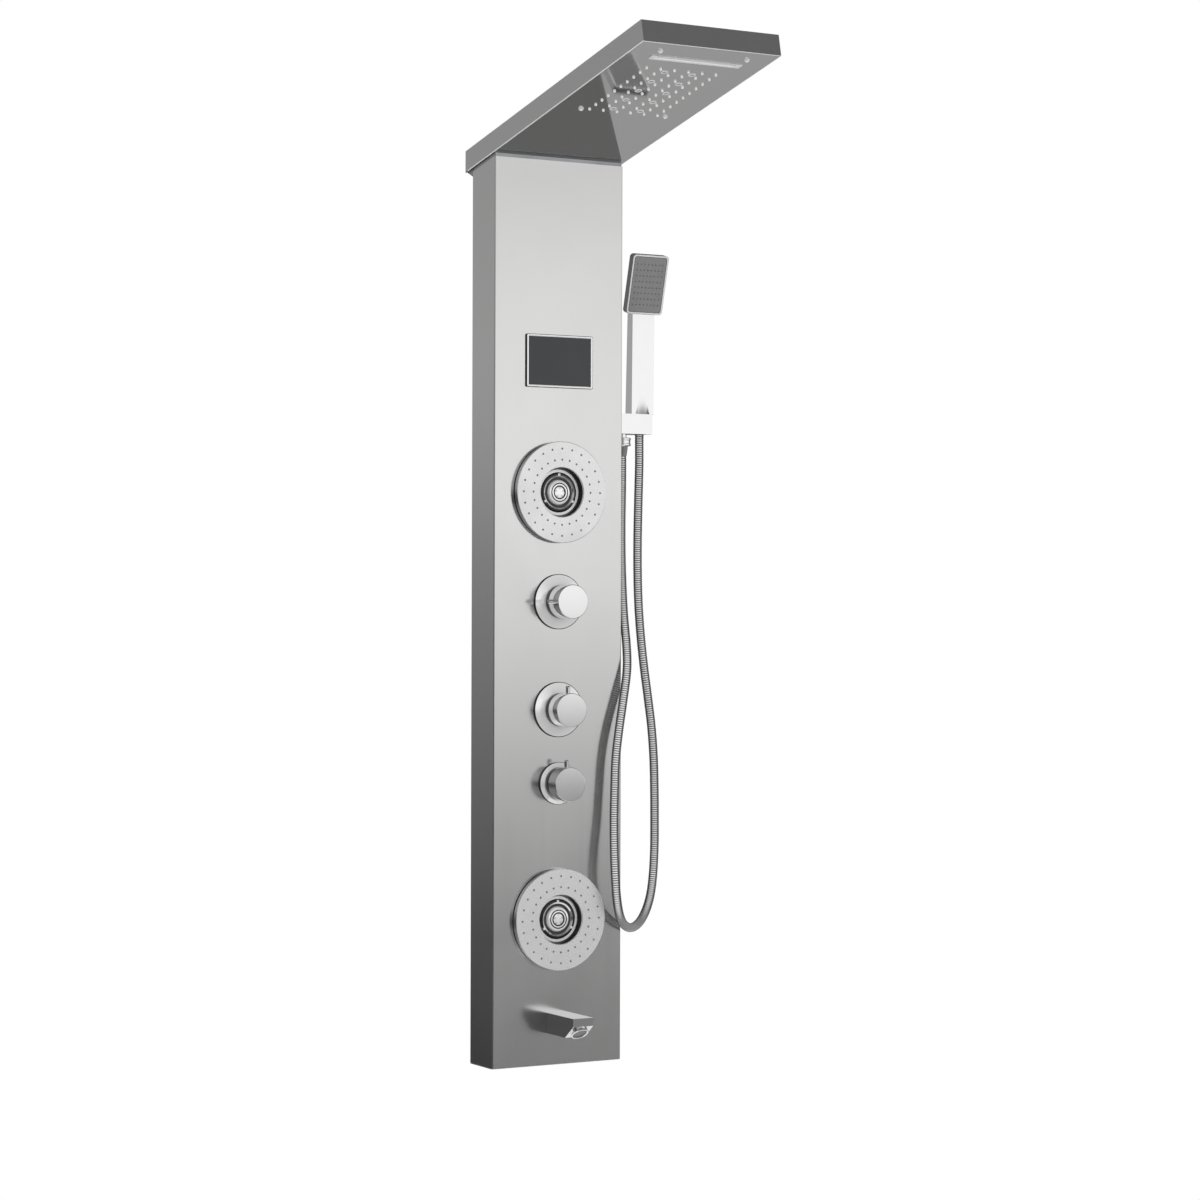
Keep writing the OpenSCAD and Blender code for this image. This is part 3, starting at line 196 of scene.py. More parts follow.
def makeBraidGroup():  # crossed strands of a woven hose cover
    tree, into, out = shaderGroup("wovenCover", [
        ("Vector", "NodeSocketVector", None), ("Strands", "NodeSocketFloat", 500.0)],
        ["Mask", "Height"])
    parts = addNode(tree, "ShaderNodeSeparateXYZ", [(0, into.outputs["Vector"])])
    flat = addMath(tree, "ADD", parts.outputs["X"], parts.outputs["Y"])
    waves = []
    for operation in ("ADD", "SUBTRACT"):
        lean = addMath(tree, operation, flat, parts.outputs["Z"])
        waves.append(addMath(tree, "SINE", addMath(tree, "MULTIPLY", lean, into.outputs["Strands"])))
    top = addMath(tree, "MAXIMUM", waves[0], waves[1])
    for label in ("Mask", "Height"):
        tree.links.new(addRange(tree, top, -1.0, 1.0, smooth=False), out.inputs[label])
    return tree


groups = {"grain": makeGrainGroup(), "marks": makeMarksGroup(), "moulded": makeMouldedGroup(),
          "turned": makeTurnedGroup(), "woven": makeBraidGroup()}
print("shader groups built")


def grey(level, blue=0.0):  # its blue may be a touch off
    return (level, level, level + blue)


# Each finish: two colours that its pattern mixes, metal or not, the roughness that the pattern and the
# handling marks move between, the pattern with its own sizes, the bump's strength and its depth in
# metres, and the size and contrast of the marks
finishes = {
    "columnSteel": dict(
        light=grey(0.82, -0.005), dark=grey(0.76, -0.005), metal=1.0, rough=(0.14, 0.21),
        pattern="grain", sizes={"Along": 1.5}, bump=(0.012, 0.00002), marks=(3.0, 0.6)),
    "headSteel": dict(
        light=grey(0.77, -0.005), dark=grey(0.7, -0.005), metal=1.0, rough=(0.16, 0.28),
        pattern="grain", sizes={"Along": 3.0}, turn=90 - head["tilt"], bump=(0.03, 0.00002),
        marks=(4.0, 0.6)),
    "mirrorSteel": dict(
        light=grey(0.76, -0.005), dark=grey(0.71, -0.005), metal=1.0, rough=(0.04, 0.08),
        pattern="grain", sizes={"Along": 3.0}, turn=90 - head["tilt"], bump=(0.012, 0.00002),
        marks=(9.0, 0.8)),
    "chrome": dict(
        light=grey(0.93, 0.005), dark=grey(0.88, 0.005), metal=1.0, rough=(0.03, 0.08),
        pattern="moulded", sizes={"Size": 120.0}, bump=(0.006, 0.00003), marks=(22.0, 0.7)),
    "turnedChrome": dict(
        light=grey(0.93, 0.005), dark=grey(0.87, 0.005), metal=1.0, rough=(0.05, 0.12),
        pattern="turned", bump=(0.02, 0.00002), marks=(26.0, 0.7)),
    "jetSteel": dict(
        light=grey(0.95), dark=grey(0.88), metal=0.68, rough=(0.22, 0.34),
        pattern="turned", bump=(0.08, 0.00003), marks=(18.0, 0.6)),
    "zincSteel": dict(
        light=(0.6, 0.61, 0.62), dark=(0.48, 0.49, 0.5), metal=1.0, rough=(0.32, 0.5),
        pattern="moulded", sizes={"Size": 260.0}, bump=(0.05, 0.00005), marks=(9.0, 0.9)),
    "paleChrome": dict(
        light=grey(0.98), dark=grey(0.93), metal=0.36, rough=(0.05, 0.12),
        pattern="turned", bump=(0.02, 0.00002), marks=(26.0, 0.7)),
    # near white and part metal; on the head's hem, the jets' grips and the hand shower's rim it is a painted
    # highlight
    "satinPlate": dict(
        light=grey(0.96), dark=grey(0.9), metal=0.35, rough=(0.2, 0.3),
        pattern="moulded", sizes={"Size": 300.0}, bump=(0.02, 0.00003), marks=(20.0, 0.6)),
    "brass": dict(
        light=(0.78, 0.6, 0.3), dark=(0.6, 0.43, 0.2), metal=1.0, rough=(0.3, 0.5),
        pattern="moulded", sizes={"Size": 420.0}, bump=(0.12, 0.00008), marks=(16.0, 0.8)),
    "whiteSilicone": dict(
        light=grey(0.99, -0.005), dark=grey(0.96, -0.01), metal=0.0, rough=(0.38, 0.52),
        pattern="moulded", bump=(0.05, 0.00004), marks=(30.0, 0.5)),
    "greyRubber": dict(
        light=grey(0.25), dark=grey(0.18, 0.002), metal=0.0, rough=(0.4, 0.6),
        pattern="moulded", bump=(0.08, 0.00004), marks=(24.0, 0.6)),
    "jetTip": dict(
        light=grey(0.2), dark=grey(0.12), metal=0.0, rough=(0.3, 0.45),
        pattern="moulded", bump=(0.05, 0.00004), marks=(24.0, 0.6)),
    "wellPlastic": dict(
        light=grey(0.46), dark=grey(0.36), metal=0.0, rough=(0.3, 0.46),
        pattern="moulded", sizes={"Size": 700.0}, bump=(0.06, 0.00004), marks=(18.0, 0.6)),
    "blackGloss": dict(
        light=grey(0.02, 0.001), dark=grey(0.012, 0.001), metal=0.0, rough=(0.08, 0.18),
        pattern="moulded", bump=(0.02, 0.00003), marks=(20.0, 0.6)),
    "blackPlastic": dict(
        light=grey(0.05, 0.002), dark=grey(0.03, 0.002), metal=0.0, rough=(0.42, 0.6),
        pattern="moulded", bump=(0.15, 0.00006), marks=(14.0, 0.6)),
    "chamberPlastic": dict(
        light=grey(0.09, 0.003), dark=grey(0.06, 0.002), metal=0.0, rough=(0.38, 0.55),
        pattern="moulded", sizes={"Size": 520.0}, bump=(0.15, 0.00006), marks=(12.0, 0.7)),
    "smokedWindow": dict(
        light=(0.032, 0.033, 0.035), dark=(0.024, 0.025, 0.027), metal=0.0, rough=(0.05, 0.1),
        pattern="moulded", sizes={"Size": 60.0}, bump=(0.004, 0.00003), marks=(18.0, 0.8)),
    "lampLens": dict(
        light=(0.36, 0.37, 0.38), dark=(0.22, 0.23, 0.24), metal=0.0, rough=(0.12, 0.24),
        pattern="moulded", sizes={"Size": 500.0}, bump=(0.06, 0.00004), marks=(40.0, 0.5)),
    "lightStrip": dict(
        light=grey(0.99, -0.005), dark=grey(0.95, -0.005), metal=0.0, rough=(0.28, 0.4),
        pattern="moulded", sizes={"Size": 600.0}, bump=(0.04, 0.00004), marks=(26.0, 0.5)),
    "aeratorMesh": dict(
        light=grey(0.34), dark=grey(0.04), metal=0.6, rough=(0.35, 0.5),
        pattern="woven", sizes={"Strands": 4200.0}, bump=(0.4, 0.0002), marks=(30.0, 0.5)),
    "wovenHose": dict(
        light=grey(0.075, 0.003), dark=grey(0.02, 0.001), metal=0.0, rough=(0.35, 0.6),
        pattern="woven", sizes={"Strands": 2400.0}, bump=(0.5, 0.0003), marks=(12.0, 0.6)),
    "hoseSteel": dict(
        light=grey(0.97), dark=grey(0.93), metal=0.25, rough=(0.08, 0.16),
        pattern="moulded", sizes={"Size": 300.0}, bump=(0.03, 0.00003), marks=(20.0, 0.8),
        # painted shade: the dark colour of the grooves and the hose's edges, and how far it spreads
        shade={"colour": grey(0.05), "narrow": 1.8, "sideFrom": 0.05, "sideTo": 0.32, "sideMost": 0.96,
               "shine": 0.2}),
}
marksShare = 0.5  # how much of the roughness the handling marks move
wornSpan = (0.25, 0.75)  # the part of the pattern and marks that the roughness follows


def addPaintedHoseShade(tree, shader, steel, s):  # painted shade: darker at the hose's edges as seen and in the grooves its tree marks
    ribs = addNode(tree, "ShaderNodeAttribute", attribute_name="groove")
    paintedGrooveShade = addMath(tree, "POWER", ribs.outputs["Fac"], s["narrow"])
    facing = addNode(tree, "ShaderNodeLayerWeight", [("Blend", 0.5)]).outputs["Facing"]
    side = addRange(tree, facing, s["sideFrom"], s["sideTo"], 0.0, s["sideMost"])
    shader.inputs["Specular IOR Level"].default_value = s["shine"]
    return addMix(tree, addMath(tree, "MAXIMUM", paintedGrooveShade, side), steel, (*s["colour"], 1))


def makeFinish(name, f):
    material = bpy.data.materials.new(name)
    material.use_nodes = True
    tree = material.node_tree
    shader = tree.nodes["Principled BSDF"]
    shader.inputs["Metallic"].default_value = f["metal"]
    places = addNode(tree, "ShaderNodeTexCoord")
    source = "UV" if f["pattern"] == "turned" else "Object"
    mapped = addNode(tree, "ShaderNodeMapping", [
        ("Vector", places.outputs[source]), ("Rotation", (math.radians(f.get("turn", 0)), 0, 0))])
    pattern = addNode(tree, "ShaderNodeGroup", node_tree=groups[f["pattern"]])
    tree.links.new(mapped.outputs[0], pattern.inputs["Vector"])
    for label, value in f.get("sizes", {}).items():
        pattern.inputs[label].default_value = value
    marks = addNode(tree, "ShaderNodeGroup", node_tree=groups["marks"])
    tree.links.new(places.outputs["Object"], marks.inputs["Vector"])
    marks.inputs["Size"].default_value, marks.inputs["Contrast"].default_value = f["marks"]
    colour = addMix(tree, pattern.outputs["Mask"], (*f["dark"], 1), (*f["light"], 1))
    # the hose gets painted shade in its grooves and at its edges
    if "shade" in f:
        colour = addPaintedHoseShade(tree, shader, colour, f["shade"])
    tree.links.new(colour, shader.inputs["Base Color"])
    worn = addMath(tree, "ADD", addMath(tree, "MULTIPLY", pattern.outputs["Mask"], 1 - marksShare),
                   addMath(tree, "MULTIPLY", marks.outputs["Mask"], marksShare))
    tree.links.new(addRange(tree, worn, *wornSpan, *f["rough"], smooth=False), shader.inputs["Roughness"])
    strength, depth = f["bump"]
    bump = addNode(tree, "ShaderNodeBump", [
        ("Strength", strength), ("Distance", depth), ("Height", pattern.outputs["Height"])])
    tree.links.new(bump.outputs[0], shader.inputs["Normal"])
    return material


finish = {name: makeFinish(name, f) for name, f in finishes.items()}
print("finishes made:", len(finish))


# Mesh tools. Outlines are in millimetres, places in metres
cutShare = 0.49  # the most of an outline's edge that one rounded corner takes
flatWeight = 60  # how far the large faces decide the shading round them
sharpAngle = 32.0  # degrees between two faces from which their edge stays sharp
partAngle = 40.0  # the same for the small parts that a tree repeats


def softened(points, closed=False, steps=4):  # rounds each corner that gives a radius
    out = []
    for i, p in enumerate(points):
        here = Vector(p[:2])
        radius = p[2] if len(p) > 2 else 0.0
        if not radius or (not closed and i in (0, len(points) - 1)):
            out.append(here)
            continue
        before = Vector(points[i - 1][:2]) - here
        after = Vector(points[(i + 1) % len(points)][:2]) - here
        half = before.angle(after) / 2
        cut = min(radius / math.tan(half), cutShare * before.length, cutShare * after.length)
        middle = (before.normalized() + after.normalized()).normalized() * cut / math.cos(half)
        first, last = before.normalized() * cut - middle, after.normalized() * cut - middle
        sweep = math.pi - 2 * half
        for k in range(steps + 1):
            t = k / steps
            arm = first * math.sin((1 - t) * sweep) + last * math.sin(t * sweep)
            out.append(here + middle + arm / math.sin(sweep))
    return out


def addTurned(bm, outline, place, steps=64, closed=False):  # round local Z, with its UV along the outline
    uv = bm.loops.layers.uv.verify()
    points = list(outline) + ([outline[0]] if closed else [])
    angles = [2 * math.pi * k / steps for k in range(steps)]
    rings, runs = [], [0.0]
    for i, (r, z) in enumerate(points):
        if i:
            runs.append(runs[-1] + (Vector(points[i]) - Vector(points[i - 1])).length * mm)
        if closed and i == len(points) - 1:
            rings.append(rings[0])
        elif r < tiny:
            rings.append([bm.verts.new(place @ Vector((0, 0, z * mm)))])
        else:
            rings.append([bm.verts.new(place @ Vector((r * mm * math.cos(a), r * mm * math.sin(a), z * mm)))
                          for a in angles])
    for i in range(len(rings) - 1):
        a, b = rings[i], rings[i + 1]
        if len(a) == 1 and len(b) == 1:
            continue
        for k in range(steps):
            n = (k + 1) % steps
            corners = [(a[0], k + 0.5, i)] if len(a) == 1 else [(a[k], k, i), (a[n], k + 1, i)]
            corners += [(b[0], k + 0.5, i + 1)] if len(b) == 1 else [(b[n], k + 1, i + 1), (b[k], k, i + 1)]
            face = bm.faces.new([c[0] for c in corners])
            for loop, (_, turn, row) in zip(face.loops, corners):
                loop[uv].uv = (turn / steps, runs[row])


def roundedRect(halfW, halfH, radius, steps=4):
    inW, inH = halfW - radius, halfH - radius
    out = []
    for cx, cy, start in ((1, 1, 0), (-1, 1, 90), (-1, -1, 180), (1, -1, 270)):
        for k in range(steps + 1):
            a = math.radians(start + 90 * k / steps)
            out.append((cx * inW + radius * math.cos(a), cy * inH + radius * math.sin(a)))
    return out


def addLoft(bm, rows, place, closed):  # rows are rounded rectangles: half width, half height, corner, z
    rings = []
    for w, h, corner, z in rows:
        corners = [Vector((x * mm, y * mm, z * mm)) for x, y in roundedRect(w, h, corner)]
        rings.append([bm.verts.new(place @ p) for p in corners])
    pairs = list(zip(rings, rings[1:])) + ([(rings[-1], rings[0])] if closed else [])
    for a, b in pairs:
        for k in range(len(a)):
            n = (k + 1) % len(a)
            bm.faces.new((a[k], a[n], b[n], b[k]))
    if not closed:
        bm.faces.new(rings[0])
        bm.faces.new(rings[-1])


def insetRows(halfW, halfH, rows):  # each row is an inset, a corner radius and a height
    return [(halfW - inset, halfH - inset, corner, z) for inset, corner, z in rows]


def sharpen(bm, angle=sharpAngle):
    for face in bm.faces:
        face.smooth = True
    for edge in bm.edges:
        if len(edge.link_faces) == 2:
            edge.smooth = edge.calc_face_angle(0.0) < math.radians(angle)


def addObject(name, data):
    obj = bpy.data.objects.new(name, data)
    bpy.context.collection.objects.link(obj)
    return obj


def meshFrom(bm, name):
    mesh = bpy.data.meshes.new(name)
    bm.to_mesh(mesh)
    bm.free()
    return mesh


def plainMesh(obj):  # what the object's modifiers make of it
    graph = bpy.context.evaluated_depsgraph_get()
    graph.update()
    return bpy.data.meshes.new_from_object(
        obj.evaluated_get(graph), preserve_all_data_layers=True, depsgraph=graph)


def assign(obj, body, nodes):  # the body that it rides, and the CAD nodes that it stands for
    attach(obj, body)
    if nodes:
        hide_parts(*nodes)


def finishPiece(name, bm, material, body, nodes=(), angle=sharpAngle, fromCad=False):
    if not fromCad:  # a copy of a CAD node is merged already, and its faces point outwards
        bmesh.ops.remove_doubles(bm, verts=bm.verts, dist=tiny)
        bmesh.ops.recalc_face_normals(bm, faces=bm.faces)
    sharpen(bm, angle)
    obj = addObject(name, meshFrom(bm, name))
    unweighted = obj.data
    unweighted.materials.append(finish[material])
    weigh = obj.modifiers.new("flatNormals", "WEIGHTED_NORMAL")
    weigh.keep_sharp, weigh.weight = True, flatWeight
    obj.data = plainMesh(obj)
    obj.modifiers.clear()
    obj.data.name = name
    bpy.data.meshes.remove(unweighted)
    assign(obj, body, nodes)
    return obj


def turnedPiece(name, outline, places, material, body, nodes=(), steps=64, closed=True, soft=4):
    bm = bmesh.new()
    for place in places:
        addTurned(bm, softened(outline, closed, soft), place, steps, closed)
    return finishPiece(name, bm, material, body, nodes)


def loftedPiece(name, rows, places, material, body, nodes=(), closed=True):
    bm = bmesh.new()
    for place in places:
        addLoft(bm, rows, place, closed)
    return finishPiece(name, bm, material, body, nodes)


cadWeld = 0.000002  # metres between a CAD node's loose corners
cadFlat = 0.4  # degrees between faces that count as one


def refined(node, name, material, body, edge=0.0, steps=2, angle=sharpAngle):
    bm = bmesh.new()  # a copy of the CAD node, merged and with its edges eased
    bm.from_mesh(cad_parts[node].data)
    bmesh.ops.remove_doubles(bm, verts=bm.verts, dist=cadWeld)
    bmesh.ops.dissolve_limit(bm, angle_limit=math.radians(cadFlat), verts=bm.verts, edges=bm.edges)
    if edge:
        limit = math.radians(angle)
        corners = [e for e in bm.edges if len(e.link_faces) == 2 and e.calc_face_angle(0.0) > limit]
        bmesh.ops.bevel(bm, geom=corners, offset=edge * mm, offset_type="OFFSET", segments=steps, profile=0.5,
                        affect="EDGES", clamp_overlap=True)
    return finishPiece(name, bm, material, body, (node,), angle, fromCad=True)


def keepNode(node, material):  # a CAD node whose shape is right keeps its mesh
    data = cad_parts[node].data
    data.materials.clear()
    data.materials.append(finish[material])


# Geometry Nodes that repeat a part or follow a path
def nodeTree(name, inputs, geometryIn=True):
    tree = bpy.data.node_groups.new(name, "GeometryNodeTree")
    if geometryIn:
        tree.interface.new_socket(name="Geometry", in_out="INPUT", socket_type="NodeSocketGeometry")
    for label, kind, value in inputs:
        socket = tree.interface.new_socket(name=label, in_out="INPUT", socket_type=kind)
        if value is not None:
            socket.default_value = value
    tree.interface.new_socket(name="Geometry", in_out="OUTPUT", socket_type="NodeSocketGeometry")
    return tree, tree.nodes.new("NodeGroupInput"), tree.nodes.new("NodeGroupOutput")


def endTree(tree, geometry, into, out):
    real = addNode(tree, "GeometryNodeRealizeInstances", [("Geometry", geometry)])
    coated = addNode(tree, "GeometryNodeSetMaterial", [
        ("Geometry", real.outputs[0]), ("Material", into.outputs["Finish"])])
    tree.links.new(coated.outputs[0], out.inputs[0])


def makeGridTree():  # a part in columns and rows
    tree, into, out = nodeTree("partsInRows", [
        ("Columns", "NodeSocketInt", 6), ("Rows", "NodeSocketInt", 10),
        ("Pitch across", "NodeSocketFloat", 0.02), ("Pitch along", "NodeSocketFloat", 0.016),
        ("Part", "NodeSocketObject", None), ("Finish", "NodeSocketMaterial", None)])
    spans = []
    for count, pitch in (("Columns", "Pitch across"), ("Rows", "Pitch along")):
        gaps = addMath(tree, "SUBTRACT", into.outputs[count], 1.0)
        spans.append(addMath(tree, "MULTIPLY", gaps, into.outputs[pitch]))
    grid = addNode(tree, "GeometryNodeMeshGrid", [
        ("Size X", spans[0]), ("Size Y", spans[1]), ("Vertices X", into.outputs["Columns"]),
        ("Vertices Y", into.outputs["Rows"])])
    part = addNode(tree, "GeometryNodeObjectInfo", [("Object", into.outputs["Part"])])
    put = addNode(tree, "GeometryNodeInstanceOnPoints", [
        ("Points", grid.outputs[0]), ("Instance", part.outputs["Geometry"])])
    endTree(tree, put.outputs[0], into, out)
    return tree


def makeRingTree():  # a part in two rings round the middle
    tree, into, out = nodeTree("partsInRings", [
        ("Count", "NodeSocketInt", 24), ("Inner radius", "NodeSocketFloat", 0.03),
        ("Outer radius", "NodeSocketFloat", 0.05), ("Part", "NodeSocketObject", None),
        ("Finish", "NodeSocketMaterial", None)])
    part = addNode(tree, "GeometryNodeObjectInfo", [("Object", into.outputs["Part"])])
    joined = addNode(tree, "GeometryNodeJoinGeometry")
    for label in ("Inner radius", "Outer radius"):
        ring = addNode(tree, "GeometryNodeMeshCircle", [
            ("Vertices", into.outputs["Count"]), ("Radius", into.outputs[label])])
        put = addNode(tree, "GeometryNodeInstanceOnPoints", [
            ("Points", ring.outputs[0]), ("Instance", part.outputs["Geometry"])])
        tree.links.new(put.outputs[0], joined.inputs[0])
    endTree(tree, joined.outputs[0], into, out)
    return tree


def makeHoseTree():  # a tube of interlocked ribs along a path
    tree, into, out = nodeTree("ribbedHose", [
        ("Ribs", "NodeSocketInt", 300), ("Steps per rib", "NodeSocketInt", 5), ("Sides", "NodeSocketInt", 20),
        ("Crest radius", "NodeSocketFloat", 0.006), ("Groove depth", "NodeSocketFloat", 0.0007),
        ("Groove narrowness", "NodeSocketFloat", 6.0), ("Finish", "NodeSocketMaterial", None)])
    steps = into.outputs["Steps per rib"]
    count = addMath(tree, "MULTIPLY_ADD", into.outputs["Ribs"], steps, 1.0)
    even = addNode(tree, "GeometryNodeResampleCurve", [("Curve", into.outputs["Geometry"]), ("Count", count)])
    index = addNode(tree, "GeometryNodeInputIndex")
    turn = addMath(tree, "MULTIPLY", addMath(tree, "DIVIDE", index.outputs[0], steps), 2 * math.pi)
    wave = addMath(tree, "MULTIPLY_ADD", addMath(tree, "COSINE", turn), 0.5, 0.5)
    groove = addMath(tree, "POWER", wave, into.outputs["Groove narrowness"])
    radius = addMath(tree, "SUBTRACT", into.outputs["Crest radius"],
                     addMath(tree, "MULTIPLY", groove, into.outputs["Groove depth"]))
    # the groove mask is kept on the points; the hose's finish paints shade into the grooves with it
    line = addNode(tree, "GeometryNodeStoreNamedAttribute", [
        ("Geometry", even.outputs[0]), ("Name", "groove"), ("Value", groove)],
        domain="POINT", data_type="FLOAT")
    ring = addNode(tree, "GeometryNodeCurvePrimitiveCircle", [
        ("Resolution", into.outputs["Sides"]), ("Radius", 1.0)])
    tube = addNode(tree, "GeometryNodeCurveToMesh", [
        ("Curve", line.outputs[0]), ("Profile Curve", ring.outputs[0]), ("Scale", radius),
        ("Fill Caps", True)])
    soft = addNode(tree, "GeometryNodeSetShadeSmooth", [("Geometry", tube.outputs[0])])
    endTree(tree, soft.outputs[0], into, out)
    return tree


def setInputs(modifier, values):
    for item in modifier.node_group.interface.items_tree:
        if item.item_type == "SOCKET" and item.in_out == "INPUT" and item.name in values:
            modifier[item.identifier] = values[item.name]


def grown(name, data, tree, values):  # runs the tree on an object and keeps the plain mesh
    carrier = addObject(name + "Carrier", data)
    modifier = carrier.modifiers.new("build", "NODES")
    modifier.node_group = tree
    setInputs(modifier, values)
    mesh = plainMesh(carrier)
    bpy.data.objects.remove(carrier)
    mesh.name = name
    return mesh


def partObject(name, outline, steps, closed=False, soft=4):  # a small turned part for the trees above
    bm = bmesh.new()
    addTurned(bm, softened(outline, closed, soft), Matrix.Identity(4), steps, closed)
    bmesh.ops.recalc_face_normals(bm, faces=bm.faces)
    sharpen(bm, partAngle)
    return addObject(name, meshFrom(bm, name))


def repeated(name, tree, part, values, place, material, body, nodes=()):
    seed = bpy.data.meshes.new(name + "Seed")
    mesh = grown(name, seed, tree, {**values, "Part": part, "Finish": finish[material]})
    mesh.transform(place)
    assign(addObject(name, mesh), body, nodes)
    bpy.data.objects.remove(part)


def inRows(columns, rows, across, along):
    return {"Columns": columns, "Rows": rows, "Pitch across": across, "Pitch along": along}


trees = {"rows": makeGridTree(), "rings": makeRingTree(), "hose": makeHoseTree()}
print("geometry trees built")

# Free hose: one real hose of 1.36 m, made as two tubes that meet at the loop's lowest point.
# Its route is in millimetres from the holder's foot
hose = {"split": 20, "steps": 12, "diameter": 0.012, "groove": 0.0008, "ribPitch": 0.003, "sides": 20,
        "sharp": 30.0, "from": (0.097, -0.05, 0.238),
        "followFrom": (0.14, -0.05, -0.3), "followTo": (0.14, -0.05, 0.19)}
hoseRoute = [
    (17.5, 0, -30.2), (17.5, 0, -47), (17, -0.5, -77), (15.5, -2, -121.5), (13.5, -6, -163),
    (11.5, -12, -204.5), (9.5, -20, -245), (8, -30, -285.5), (4, -38, -318), (-5, -44, -357),
    (-14, -48.5, -396.5), (-20, -50.5, -434.5), (-22.5, -52, -475), (-24.5, -54, -517),
    (-26.5, -58.5, -557.5), (-26.5, -61.5, -593), (-23, -59.5, -620), (-16, -54, -641), (-6, -46, -654),
    (7.5, -37.5, -661.5), (22.5, -28, -662), (37.5, -19, -655.5), (51.5, -10.5, -641.5), (62, -4, -621.5),
    (68.5, 0.5, -594.5), (71, 1.5, -560.5), (70, -0.5, -521.5), (67.5, -4, -479), (64, -7.5, -436.5),
    (59.5, -9, -394.5), (53.5, -9, -353), (48, -7.5, -311), (44, -5.5, -268.5), (41.5, -4, -226),
    (41, -2.5, -183.5), (41.5, -1.5, -140), (43, -0.5, -92), (44.5, 0, -43), (44.5, 0, -17), (44.5, 0, 0)]


def smoothRoute(points, steps):  # a smooth line through every point
    points = [Vector(p) for p in points]
    last = len(points) - 1
    run = []
    for i in range(last):
        a, b, c, d = points[max(i - 1, 0)], points[i], points[i + 1], points[min(i + 2, last)]
        for k in range(steps):
            s = k / steps
            run.append(b + (c - a) * s / 2 + (2 * a - 5 * b + 4 * c - d) * s * s / 2
                       + (3 * b - a - 3 * c + d) * s ** 3 / 2)
    return run + [points[-1]]


def runLength(points):
    return sum((b - a).length for a, b in zip(points, points[1:]))


def makeHose(name, points):
    curve = bpy.data.curves.new(name + "Line", "CURVE")
    curve.dimensions = "3D"
    spline = curve.splines.new("POLY")
    spline.points.add(len(points) - 1)
    for point, place in zip(spline.points, points):
        point.co = (*place, 1)
    mesh = grown(name, curve, trees["hose"], {
        "Ribs": round(runLength(points) / hose["ribPitch"]), "Sides": hose["sides"],
        "Crest radius": hose["diameter"] / 2, "Groove depth": hose["groove"], "Finish": finish["hoseSteel"]})
    bm = bmesh.new()
    bm.from_mesh(mesh)
    bmesh.ops.remove_doubles(bm, verts=bm.verts, dist=tiny)
    bmesh.ops.recalc_face_normals(bm, faces=bm.faces)
    sharpen(bm, hose["sharp"])
    bm.to_mesh(mesh)
    bm.free()
    return addObject(name, mesh)


hoseLine = smoothRoute([Vector(hose["from"]) + Vector(p) * mm for p in hoseRoute], hose["steps"])
hoseCut = hose["split"] * hose["steps"]
outletLine, handsetLine = hoseLine[:hoseCut + 1], hoseLine[hoseCut:]
outletHose = makeHose("outletHose", outletLine)
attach(outletHose, "panel")
handsetHose = makeHose("handsetHose", handsetLine)
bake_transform(handsetHose)
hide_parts("shower_hose")

# Ends of the hose: the nut and cone under the holder, and the cone nut in it. In a turned outline each
# point is a radius, a height and, where the corner is rounded, its own radius
hoseEnds = {
    "axisOut": 0.1145, "axisHandset": 0.1415, "axisY": -0.05, "outletTop": 0.233, "holderFoot": 0.238,
    "steps": 72,
    "outlet": [
        (4.2, -25), (6.25, -25, 0.3), (8.0, -11.9, 1.2), (8.3, -11.2, 0.2), (11.3, -11.2, 0.5),
        (11.9, -10.2, 0.3), (11.9, -8.4, 0.3), (11.2, -7.8, 0.4), (11.2, -3.6, 0.4), (11.9, -3.0, 0.3),
        (11.9, -0.9, 0.5), (11.1, -0.05, 0.3), (6.1, -0.05), (6.1, -4.0), (4.2, -4.0)],
    "cone": [
        (4.2, 0.1), (9.6, 0.1, 0.6), (10.1, 1.0, 0.4), (12.15, 26.2, 0.6), (11.6, 26.95, 0.3),
        (10.5, 26.95), (10.5, 15.2), (4.2, 15.2)]}


def makeHoseEnds(e):
    outlet = Matrix.Translation((e["axisOut"], e["axisY"], e["outletTop"]))
    nut = turnedPiece("hoseOutletNut", e["outlet"], [outlet], "turnedChrome", "panel",
                      ("hose_end_nut",), e["steps"], soft=3)
    holder = Matrix.Translation((e["axisHandset"], e["axisY"], e["holderFoot"]))
    cone = turnedPiece("hoseConeNut", e["cone"], [holder], "turnedChrome", "hose_nut",
                       ("hose_cone_nut",), e["steps"], soft=3)
    return nut, cone


outletNut, coneNut = makeHoseEnds(hoseEnds)
print("hose made:", round(runLength(hoseLine), 4), "m")

# Column
refined("column_shell", "columnShell", "columnSteel", "panel", edge=0.25)
refined("column_bottom_cap", "columnCap", "columnSteel", "panel", edge=0.2)
hiddenSteel = {"head_bracket": "headBracket", "head_gusset": "headGusset", "upper_rail": "upperRail",
               "lower_rail": "lowerRail", "upper_wall_bracket": "upperWallBracket",
               "lower_wall_bracket": "lowerWallBracket"}
for node, name in hiddenSteel.items():
    refined(node, name, "zincSteel", "panel", edge=0.3)
print("column made")

